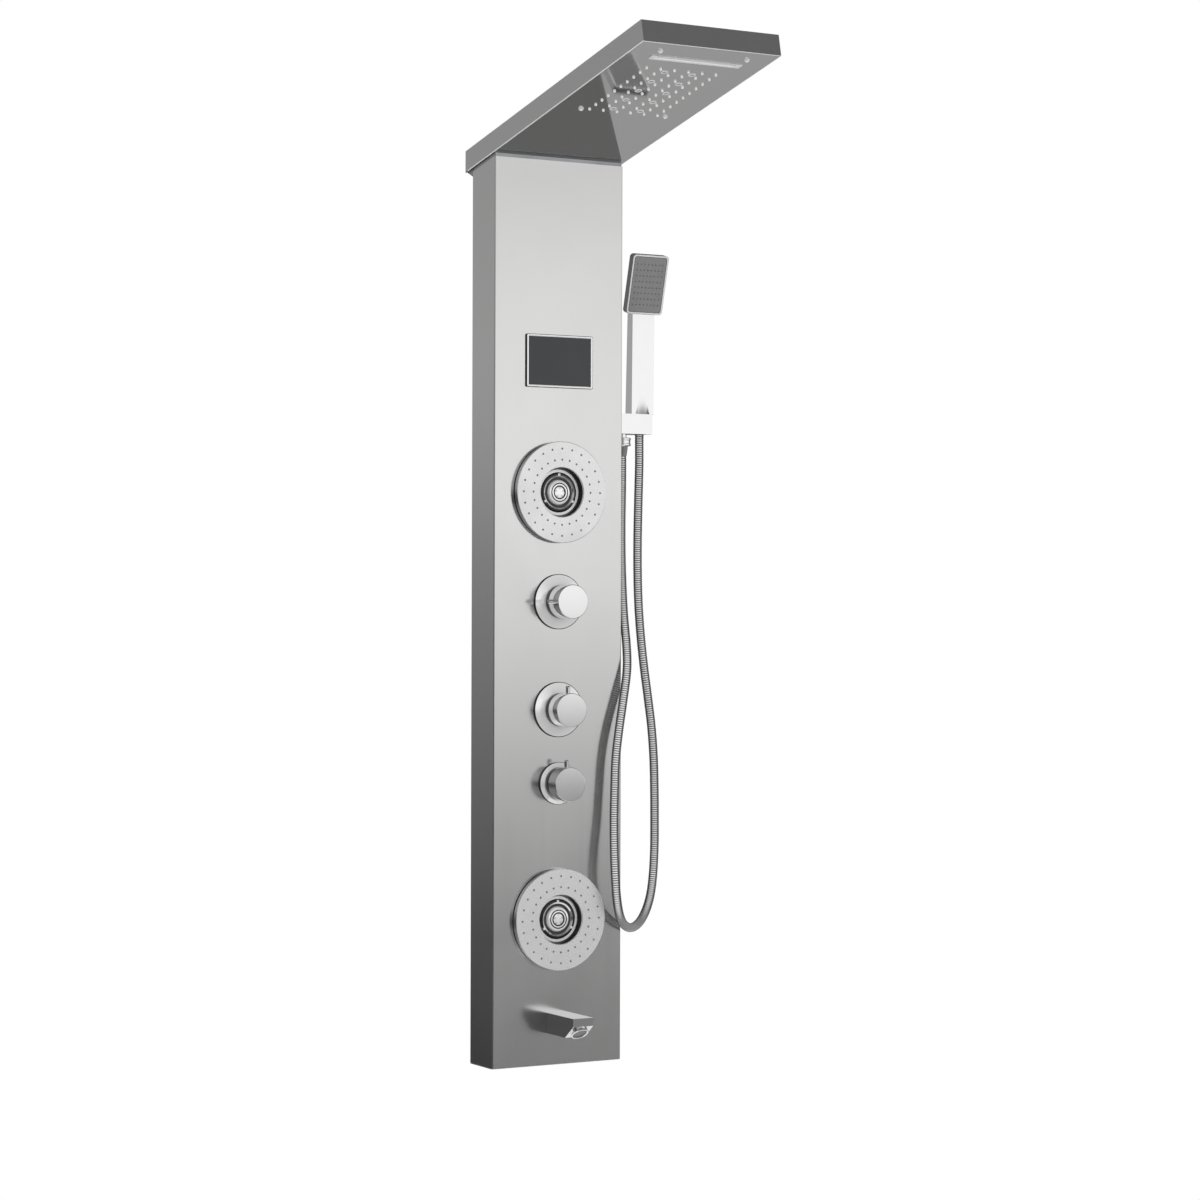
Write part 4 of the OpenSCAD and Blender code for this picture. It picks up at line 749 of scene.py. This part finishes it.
# Head. A loft's row is a half width, a half height, a corner radius and a height. A row of the hem gives
# its inset in place of the first two
headValues = {
    "nozzleColumns": 6, "nozzleRows": 10, "pitchAcross": 0.02, "pitchAlong": 0.0161, "first": 0.255,
    "domeAcross": 0.062, "domeBack": 0.254, "domeFront": 0.454, "fallV": 0.434, "tabAcross": 0.0592,
    "hemHalf": 98.55, "hemFoot": 7.0, "hemTop": 476.1,
    "hem": [(0, 0.6, 1.1), (0, 0.6, 0.2), (0.25, 0.5, -0.05), (1.0, 0.3, -0.05), (1.15, 0.3, 0.15),
            (1.15, 0.3, 1.1)],
    "nozzle": [
        (0, -1.2), (0.6, -1.2), (0.65, -1.8), (1.3, -1.8, 0.3), (1.75, -0.6, 0.4), (2.0, 0.25), (0, 0.25)],
    "bezel": [(2.9, 0.2), (2.9, -0.2), (3.1, -0.6, 0.2), (4.2, -0.65, 0.2), (4.8, -0.15, 0.2), (4.8, 0.2)],
    "lens": [(0, -0.3), (1.4, -0.27), (2.4, -0.15), (2.85, 0.0), (3.4, 0.25), (3.4, 0.8), (0, 0.8)],
    "dome": [(0, -3.4), (1.3, -3.15), (2.5, -2.3), (3.3, -1.2), (3.6, 0), (2, 0.05), (2, 3.0), (0, 3.0)],
    "lip": [
        (65, 5.2, 1.2, 0.1), (65, 5.2, 1.2, -1.1), (64.6, 4.8, 1.0, -1.55), (62.4, 3.9, 0.8, -1.55),
        (62.1, 3.6, 0.6, -1.2), (62.1, 3.6, 0.6, 0.1)],
    "tab": [(2.6, 3.4, 0.5, 0.2), (2.6, 3.4, 0.5, -1.5), (2.2, 3.0, 0.5, -1.85)]}


def makeRainField(h):
    refined("head_shell", "headShell", "headSteel", "panel", edge=0.5, steps=3)
    refined("head_plate", "headPlate", "mirrorSteel", "panel")
    nozzles = inRows(h["nozzleColumns"], h["nozzleRows"], h["pitchAcross"], h["pitchAlong"])
    middle = onHead(h["first"] + (h["nozzleRows"] - 1) * h["pitchAlong"] / 2)
    nozzle = partObject("nozzlePart", h["nozzle"], steps=14)
    repeated("rainNozzles", trees["rows"], nozzle, nozzles, middle, "whiteSilicone", "panel",
             ("rain_nozzles",))
    lampRows = h["nozzleRows"] // 2  # the lamps sit between the nozzles, in every other row
    lamps = inRows(2, lampRows, 2 * h["pitchAcross"], 2 * h["pitchAlong"])
    middle = onHead(h["first"] + h["pitchAlong"] / 2 + (lampRows - 1) * h["pitchAlong"])
    bezel = partObject("bezelPart", h["bezel"], steps=20, closed=True, soft=2)
    repeated("lampBezels", trees["rows"], bezel, lamps, middle, "satinPlate", "panel",
             ("led_bezels",))
    lens = partObject("lensPart", h["lens"], steps=18)
    repeated("lampLenses", trees["rows"], lens, lamps, middle, "lampLens", "panel",
             ("led_lenses",))
    domes = inRows(2, 2, 2 * h["domeAcross"], h["domeFront"] - h["domeBack"])
    middle = onHead((h["domeBack"] + h["domeFront"]) / 2)
    dome = partObject("domePart", h["dome"], steps=20)
    repeated("domeNuts", trees["rows"], dome, domes, middle, "satinPlate", "panel",
             ("head_dome_nuts",))


def makeWaterfall(h):
    mouth = onHead(h["fallV"])
    loftedPiece("waterfallLip", h["lip"], [mouth], "satinPlate", "panel", ("waterfall_lip",))
    # the hem is near-white satin where the real one is steel: a painted highlight along the head's lower edge
    hem = insetRows(h["hemHalf"], (h["hemTop"] - h["hemFoot"]) / 2, h["hem"])
    middle = onHead((h["hemFoot"] + h["hemTop"]) / 2 * mm)
    loftedPiece("headHem", hem, [middle], "satinPlate", "panel")
    refined("waterfall_strip", "waterfallStrip", "lightStrip", "panel", edge=0.3)
    tabs = [mouth @ Matrix.Translation((side * h["tabAcross"], 0, 0)) for side in (-1, 1)]
    loftedPiece("waterfallTabs", h["tab"], tabs, "satinPlate", "panel", closed=False)
    refined("rain_chamber", "rainChamber", "chamberPlastic", "panel", edge=0.5)
    refined("waterfall_chamber", "waterfallChamber", "chamberPlastic", "panel", edge=0.5)


makeRainField(headValues)
makeWaterfall(headValues)
print("head made")

# Display
displayValues = {
    "z": 0.329, "halfWidth": 50.0, "halfHeight": 35.0,
    "edge": [(0, 2.0, 0), (0, 2.0, 2.3), (0.35, 1.8, 2.7), (0.8, 1.5, 2.7), (0.8, 1.5, 0)],
    "bezel": [(0.7, 1.6, 0), (0.7, 1.6, 2.7), (1.0, 1.5, 3.0), (2.3, 0.8, 3.0), (2.85, 0.4, 2.7),
              (3.0, 0.3, 2.2), (3.0, 0.3, 0)],
    "window": [(3.2, 0.4, 0), (3.2, 0.4, 1.7), (3.5, 0.4, 2.0)]}


def makeDisplay(d):
    place, w, h = onFront(d["z"]), d["halfWidth"], d["halfHeight"]
    loftedPiece("displayEdge", insetRows(w, h, d["edge"]), [place], "blackGloss", "panel")
    loftedPiece("displayBezel", insetRows(w, h, d["bezel"]), [place], "paleChrome", "panel",
                ("display_bezel",))
    loftedPiece("displayWindow", insetRows(w, h, d["window"]), [place], "smokedWindow", "panel",
                ("display_glass",), closed=False)
    keepNode("display_module", "blackPlastic")


makeDisplay(displayValues)
print("display made")

# Body jets
jetHeights = {"upper": 0.156, "lower": -0.408}
jetValues = {
    "tips": 24, "innerRing": 0.043, "outerRing": 0.0575, "tipFoot": 0.0095, "grips": 3, "gripRing": 0.0236,
    "gripRise": 0.0006, "holes": 5, "holeRing": 0.0056, "holeRise": 0.0113, "ballZ": -0.009,
    "ballR": 18.75, "ballFoot": -60, "ballMouth": 18, "steps": 120, "ballSteps": 96,
    "disc": [(33, 5.5), (33, 9.5, 0.5), (66.65, 9.5, 0.5), (66.65, 5.5)],
    "skirt": [(66.55, 9.0), (67, 8.95, 0.2), (67, 2.0, 0.4), (65.5, 2.0, 0.3), (65.5, 5.3), (66.55, 5.3)],
    "tip": [(0, 0.65), (0.45, 0.62), (0.95, 0.45), (1.4, 0.1), (1.5, -0.4), (0, -0.4)],
    "cup": [
        (6, -44), (10, -44, 0.5), (10, -34, 0.3), (36, -34, 0.6), (36, -0.1), (59, -0.1, 0.3), (59, 5.4, 0.3),
        (33.6, 5.4, 0.3), (33.2, 4.0), (31, -1.6), (22.6, -1.6), (22.6, -9), (13.6, -27.8), (6, -27.8)],
    "lining": [
        (32.95, 6.2), (32.95, 5.0), (30.8, -1.5), (30.2, -1.5), (30.2, -1.0, 0.2), (32.55, 5.0, 0.3),
        (32.75, 6.2)],
    "seat": [(26.0, -1.5), (30.3, -1.5), (30.3, -0.95, 0.2), (26.7, -0.85, 0.2), (26.0, -1.2)],
    "ring": [
        (22.5, -1.4), (26.6, -1.4, 0.2), (26.6, -0.4, 0.3), (24.6, 0.9, 0.4), (22.6, 1.0, 0.4),
        (19.9, -0.6, 0.4), (21.4, -1.4)],
    "band": [
        (22.6, 0.9), (22.6, 1.08, 0.1), (22.2, 0.95, 0.2), (20.5, -0.05, 0.2), (20.2, -0.6), (21.4, -0.4)],
    "grip": [(0, 1.6), (1.0, 1.45), (1.7, 1.0), (2.0, 0.4), (2.0, -0.6), (0, -0.6)],
    "mouth": [
        (17.6, 6.3, 0.2), (17.1, 6.7, 0.2), (16.3, 9.2, 0.4), (15.2, 11.2, 0.3), (12.5, 11.88, 0.2),
        (12.4, 10.2), (11.4, 10.2), (11.3, 11.8, 0.2), (9.2, 11.88, 0.2), (9.0, 8.2), (7.8, 8.2),
        (7.7, 11.2, 0.4), (0, 11.6)],
    # black rings in the ball's grooves: painted shade of its recesses
    "recessShades": [
        [(11.0, 10.1), (12.8, 10.1), (12.8, 11.85, 0.2), (11.0, 11.85, 0.2)],
        [(7.4, 8.0), (9.6, 8.0), (9.6, 11.85, 0.2), (7.4, 11.85, 0.2)]],
    "hole": [(0, -0.2), (0.9, -0.2), (1.1, 0.2), (1.3, 0.2), (1.3, -0.5), (0, -0.5)]}


def roundPlaces(place, count, radius, rise):  # the first one at the top
    angles = [math.radians(90 + 360 * k / count) for k in range(count)]
    return [place @ Matrix.Translation((radius * math.cos(a), radius * math.sin(a), rise)) for a in angles]


def makeJetDisc(name, node, place, j):
    steps, feet = j["steps"], place @ Matrix.Translation((0, 0, j["tipFoot"]))
    turnedPiece(name + "Disc", j["disc"], [place], "jetSteel", "panel", (node + "disc",), steps)
    turnedPiece(name + "Skirt", j["skirt"], [place], "chrome", "panel", steps=steps)
    tip = partObject("tipPart", j["tip"], steps=12)
    rings = {"Count": j["tips"], "Inner radius": j["innerRing"], "Outer radius": j["outerRing"]}
    repeated(name + "Tips", trees["rings"], tip, rings, feet, "jetTip", "panel",
             (node + "tips",))


def makeJetWell(name, node, place, j):
    steps = j["steps"]
    turnedPiece(name + "Cup", j["cup"], [place], "wellPlastic", "panel",
                (node + "cup",), steps)
    # a black sheet lining the well's wall: painted shade inside the well
    turnedPiece(name + "Lining", j["lining"], [place], "blackGloss", "panel", steps=steps)
    turnedPiece(name + "Seat", j["seat"], [place], "satinPlate", "panel", steps=steps)
    # the ring is black gloss where the real part is chrome: painted shade of the gap round the ball
    turnedPiece(name + "Ring", j["ring"], [place], "blackGloss", "panel", (node + "ring",), steps)
    turnedPiece(name + "Band", j["band"], [place], "chrome", "panel", steps=steps)
    # the grips are near-white satin: painted highlights on the ring
    grips = roundPlaces(place, j["grips"], j["gripRing"], j["gripRise"])
    turnedPiece(name + "Grips", j["grip"], grips, "satinPlate", "panel", steps=20, closed=False)


def makeJetBall(name, node, place, body, j):
    middle = place @ Matrix.Translation((0, 0, j["ballZ"]))
    ball, steps = j["ballR"], j["ballSteps"]
    turns = [math.radians(a) for a in range(j["ballFoot"], j["ballMouth"] + 1, 6)]  # up the sphere
    arc = [(ball * math.cos(a), ball * math.sin(a)) for a in turns]
    turnedPiece(name + "Ball", [(0, arc[0][1])] + arc + j["mouth"], [middle], "paleChrome", body,
                (node + "ball",), steps, closed=False)
    # black rings in the ball's grooves: painted shade of its recesses
    bm = bmesh.new()
    for recessShade in j["recessShades"]:
        addTurned(bm, softened(recessShade, closed=True), middle, steps, closed=True)
    finishPiece(name + "Seals", bm, "blackGloss", body)
    # black discs on the ball's face where its holes are: painted shade of the holes
    holes = roundPlaces(middle, j["holes"], j["holeRing"], j["holeRise"])
    turnedPiece(name + "Holes", j["hole"], holes, "blackPlastic", body, steps=16,
                closed=False)


for which, z in jetHeights.items():
    name, node, place = which + "Jet", which + "_jet_", onFront(z)
    makeJetDisc(name, node, place, jetValues)
    makeJetWell(name, node, place, jetValues)
    makeJetBall(name, node, place, which + "_ball", jetValues)
    refined(node + "liner", name + "Liner", "blackPlastic", which + "_liner")
    refined(node + "nut", name + "Nut", "blackPlastic", "panel", edge=0.5)
print("jets made")

# Knobs
knobValues = {"radius": 22.5, "innerR": 19, "boreR": 5.1, "seam": 14.7, "plateT": 4.5, "neck": 13.02,
              "pinR": 3.0, "pinFoot": 18.6, "pinEnd": 32.0, "pinUnderFace": 11, "steps": 112, "pinSteps": 40}
knobRows = {"diverter": {"z": 0.0115, "reach": 40.0, "plateR": 36.5, "pin": 180},
            "hot": {"z": -0.131, "reach": 37.0, "plateR": 36.5, "pin": 90},
            "cold": {"z": -0.2285, "reach": 34.0, "plateR": 28.0, "pin": 90}}


def makeKnob(which, k, v):
    place = onFront(k["z"])
    reach, plate = k["reach"], k["plateR"]
    r, inner, bore, seam = v["radius"], v["innerR"], v["boreR"], v["seam"]
    neck, t, steps = v["neck"], v["plateT"], v["steps"]
    turnedPiece(which + "Escutcheon", [
        (neck, 0), (plate - 0.25, 0), (plate - 0.25, t / 2, 0.3), (r, t, 3.0), (neck, t, 0.3)],
        [place], "paleChrome", "panel", (which + "_escutcheon",), steps)
    # a black band round the escutcheon's edge: painted shade along the edge
    turnedPiece(which + "Rim", [
        (plate - 0.35, 0), (plate, 0, 0.1), (plate, t / 2 - 0.1, 0.2), (plate - 0.5, t / 2 + 0.12),
        (plate - 0.9, t / 2 + 0.15), (plate - 1.0, t / 2 - 0.4), (plate - 0.35, 1.2)],
        [place], "blackGloss", "panel", steps=steps)
    turnedPiece(which + "Knob", [
        (0, reach - 8), (bore, reach - 8), (bore, 10.2), (inner, 10.2), (inner, 8.0), (r - 0.6, 8.0),
        (r - 0.6, seam - 0.6, 0.2), (r, seam, 0.3), (r, reach, 0.9), (0, reach)],
        [place], "turnedChrome", which, (which + "_knob",), steps, closed=False)
    # a black ring at the knob's foot: painted shade of the gap under the knob
    turnedPiece(which + "Collar", [
        (inner, 10.0), (inner, 5.7), (r - 0.4, 5.7, 0.3), (r - 0.1, 8.0, 0.3), (r - 0.1, seam - 0.7, 0.2),
        (r - 0.7, seam - 0.7), (r - 0.7, 10.0)],
        [place], "blackGloss", which, steps=steps)
    pin = place @ Matrix.Rotation(math.radians(k["pin"]), 4, "Z")
    pin = pin @ Matrix.Translation((0, 0, (reach - v["pinUnderFace"]) * mm))
    pinR, foot, end = v["pinR"], v["pinFoot"], v["pinEnd"]
    turnedPiece(which + "Lever", [
        (0, foot), (pinR, foot), (pinR, end - 2.0, 0.8), (pinR - 0.7, end, 0.7), (0, end)],
        [pin @ Matrix.Rotation(math.radians(90), 4, "Y")], "turnedChrome", which,
        (which + "_lever",), v["pinSteps"], closed=False)
    refined(which + "_spindle", which + "Spindle", "brass", which, edge=0.3)


for which, row in knobRows.items():
    makeKnob(which, row, knobValues)
print("knobs made")

# Water side behind the panel
refined("mixer_body", "mixerBody", "brass", "panel", edge=0.5)
refined("diverter_body", "diverterBody", "brass", "panel", edge=0.5)
refined("water_hoses", "waterHoses", "wovenHose", "panel")
refined("spout_nut", "spoutNut", "brass", "panel", edge=0.4)
refined("holder_nut", "holderNut", "brass", "panel", edge=0.4)
print("water side made")

# Bath spout
refined("bath_spout", "bathSpout", "chrome", "panel", edge=0.45, steps=3)
spoutValues = {
    "topZ": -0.531, "reach": 70.0, "share": 0.69, "depth": 27.0, "nose": 10.6, "steps": 72, "meshSteps": 48,
    "aerator": [
        (9.4, -7), (12, -7), (12, 1.2, 0.3), (12.0, 3.2, 0.6), (11.3, 4.0, 0.4), (10.1, 4.0, 0.4),
        (9.5, 3.2, 0.3)],
    "mesh": [(0, 2.6), (6, 2.4), (9.6, 1.9), (9.6, 0.6), (0, 0.6)]}


def makeAerator(s):
    drop, run = s["depth"] - s["nose"], s["reach"] * (1 - s["share"])
    middle = (0, panel["frontY"] - (s["reach"] - run / 2) * mm, s["topZ"] - (s["nose"] + drop / 2) * mm)
    place = Matrix.Translation(middle) @ Matrix.Rotation(math.pi - math.atan2(drop, run), 4, "X")
    turnedPiece("spoutAerator", s["aerator"], [place], "turnedChrome", "panel",
                ("spout_aerator",), s["steps"])
    turnedPiece("aeratorMesh", s["mesh"], [place], "aeratorMesh", "panel", steps=s["meshSteps"],
                closed=False)


makeAerator(spoutValues)
print("spout made")

# Hand shower
refined("handset_holder", "handsetHolder", "chrome", "panel", edge=0.6, steps=3)
refined("handset_body", "handsetBody", "chrome", "handset", edge=0.7, steps=3)
plateValues = {
    "x": 0.1415, "footY": -0.0615, "footZ": 0.4, "halfLength": 40.25, "halfWidth": 27.75, "lean": 14.5,
    "tips": 8, "pitchAcross": 0.0056, "pitchAlong": 0.0078,
    "face": [(3.0, 3.4, -2.0), (3.0, 3.4, -0.4), (3.3, 3.2, -0.05), (4.0, 2.8, 0)],
    "rim": [(0.15, 4.9, -0.25), (0.4, 4.7, 0.12), (2.3, 3.2, 0.12), (2.6, 3.0, -0.2), (2.6, 3.0, -0.6),
            (0.15, 4.9, -0.6)],
    "tip": [(0, 0.2), (0.3, 0.2), (0.4, 0.75), (0.7, 0.7), (0.85, -0.1), (0, -0.1)]}


def makeSprayFace(s):
    lean, rise = math.radians(s["lean"]), s["halfLength"] * mm
    middle = (s["x"], s["footY"] - rise * math.sin(lean), s["footZ"] + rise * math.cos(lean))
    place = Matrix.Translation(middle) @ Matrix.Rotation(lean + math.pi / 2, 4, "X")  # Z out of the face
    w, h = s["halfWidth"], s["halfLength"]
    loftedPiece("sprayFace", insetRows(w, h, s["face"]), [place], "greyRubber", "handset",
                ("handset_face",), closed=False)
    # the rim is near-white satin where the real one is chrome: a painted highlight round the spray face
    loftedPiece("plateRim", insetRows(w, h, s["rim"]), [place], "satinPlate", "handset")
    tip = partObject("sprayTip", s["tip"], steps=10)
    tips = inRows(s["tips"], s["tips"], s["pitchAcross"], s["pitchAlong"])
    repeated("sprayTips", trees["rows"], tip, tips, place, "jetTip", "handset")


makeSprayFace(plateValues)
print("hand shower made")

# Floor far below the panel's foot, out of the photograph's view
floorValues = {"radius": 0.9, "place": (0, -0.15, -1.02), "steps": 96, "colour": grey(0.86), "rough": 0.8}


def makeFloor(f):
    bm = bmesh.new()
    bmesh.ops.create_circle(bm, cap_ends=True, segments=f["steps"], radius=f["radius"])
    bmesh.ops.translate(bm, verts=bm.verts, vec=f["place"])
    floor = addObject("studioFloor", meshFrom(bm, "studioFloor"))
    material = bpy.data.materials.new("studioFloor")
    material.use_nodes = True
    shader = material.node_tree.nodes["Principled BSDF"]
    shader.inputs["Base Color"].default_value = (*f["colour"], 1)
    shader.inputs["Roughness"].default_value = f["rough"]
    floor.data.materials.append(material)


makeFloor(floorValues)

# Studio: white behind the object, a wide soft light at the right front, and darker sides for the metal to
# show. Each ramp gives the light's strength against the height of the ray. Between the two values of its
# span, as the ray turns towards it, a side takes over from the light before it
studio = {"ambient": 0.86, "base": [(-1, 0.06), (1, 0.05)]}
sides = {
    "left": {"towards": (-0.6, -0.8, 0.0), "span": (0.3, 0.8), "ramp": [
        (-1, 0.3), (-0.3, 0.2), (-0.14, 0.05), (-0.08, 0.05), (-0.03, 0.08), (0.02, 0.16), (0.12, 0.34),
        (0.3, 0.34), (1, 0.3)]},
    "front": {"towards": (0.8, -0.6, 0.0), "span": (0.3, 0.75), "ramp": [
        (-1, 0.5), (-0.6, 0.16), (-0.16, 0.19), (-0.12, 0.21), (-0.09, 0.26), (-0.06, 0.4), (-0.04, 0.62),
        (-0.015, 0.86), (0.01, 0.97), (0.05, 1.0), (0.1, 0.92), (0.16, 0.68), (0.26, 0.32), (0.42, 0.14),
        (0.6, 0.12), (1, 0.5)]},
    "rear": {"towards": (-0.6, 0.8, 0.0), "span": (0.3, 0.8), "ramp": [
        (-1, 0.03), (-0.16, 0.03), (-0.11, 0.055), (-0.065, 0.125), (0.0, 0.21), (0.07, 0.38), (0.14, 0.33),
        (0.4, 0.2), (1, 0.16)]},
    "low": {"towards": (0.7, 0.7, 0.0), "span": (0.35, 0.75), "ramp": [
        (-1, 0.26), (-0.6, 0.42), (-0.4, 0.33), (-0.1, 0.17), (0.3, 0.1), (1, 0.1)]},
}


def addRamp(tree, value, stops):
    ramp = addNode(tree, "ShaderNodeValToRGB", [(0, value)])
    ramp.color_ramp.interpolation = "EASE"
    points = ramp.color_ramp.elements
    while len(points) < len(stops):
        points.new(0.5)
    for point, (height, strength) in zip(points, stops):
        point.position = (height + 1) / 2
        point.color = (strength, strength, strength, 1)
    return ramp.outputs[0]


def addGlow(tree, colour, strength):
    return addNode(tree, "ShaderNodeBackground", [("Color", colour), ("Strength", strength)]).outputs[0]


def makeStudio(s, sides):
    world = bpy.data.worlds.new("studio")
    bpy.context.scene.world = world
    world.use_nodes = True
    tree = world.node_tree
    tree.nodes.clear()
    way = addNode(tree, "ShaderNodeTexCoord").outputs["Generated"]
    z = addNode(tree, "ShaderNodeSeparateXYZ", [(0, way)]).outputs["Z"]
    height = addMath(tree, "MULTIPLY", addMath(tree, "ADD", z, 1.0), 0.5)
    light = addRamp(tree, height, s["base"])
    for side in sides.values():
        facing = addNode(tree, "ShaderNodeVectorMath", [
            (0, way), (1, side["towards"])], operation="DOT_PRODUCT")
        share = addRange(tree, facing.outputs["Value"], *side["span"])
        light = addMix(tree, share, light, addRamp(tree, height, side["ramp"]))
    white = (1, 1, 1, 1)
    shine = addGlow(tree, light, 1.0)
    even = addGlow(tree, white, s["ambient"])
    behind = addGlow(tree, white, 1.0)
    path = addNode(tree, "ShaderNodeLightPath").outputs
    glossy = addMath(tree, "MAXIMUM", path["Is Glossy Ray"], path["Is Transmission Ray"])
    first = addNode(tree, "ShaderNodeMixShader", [(0, glossy), (1, even), (2, shine)])
    last = addNode(tree, "ShaderNodeMixShader", [
        (0, path["Is Camera Ray"]), (1, first.outputs[0]), (2, behind)])
    addNode(tree, "ShaderNodeOutputWorld", [("Surface", last.outputs[0])])


studioLamps = {"keyLight": {"place": (1.6, -2.6, 1.4), "size": 1.4, "power": 14},
               "fillLight": {"place": (-2.2, -1.6, 0.8), "size": 1.6, "power": 5}}
lampAim = (0, -0.1, 0)


def addLamp(name, row):
    data = bpy.data.lights.new(name, "AREA")
    data.shape, data.size, data.energy = "SQUARE", row["size"], row["power"]
    lamp = addObject(name, data)
    lamp.location = row["place"]
    lamp.rotation_euler = (Vector(lampAim) - Vector(row["place"])).to_track_quat("-Z", "Y").to_euler()
    lamp.visible_glossy = False


makeStudio(studio, sides)
for name, row in studioLamps.items():
    addLamp(name, row)

bpy.context.scene.view_settings.view_transform = "Standard"
print("studio lit")
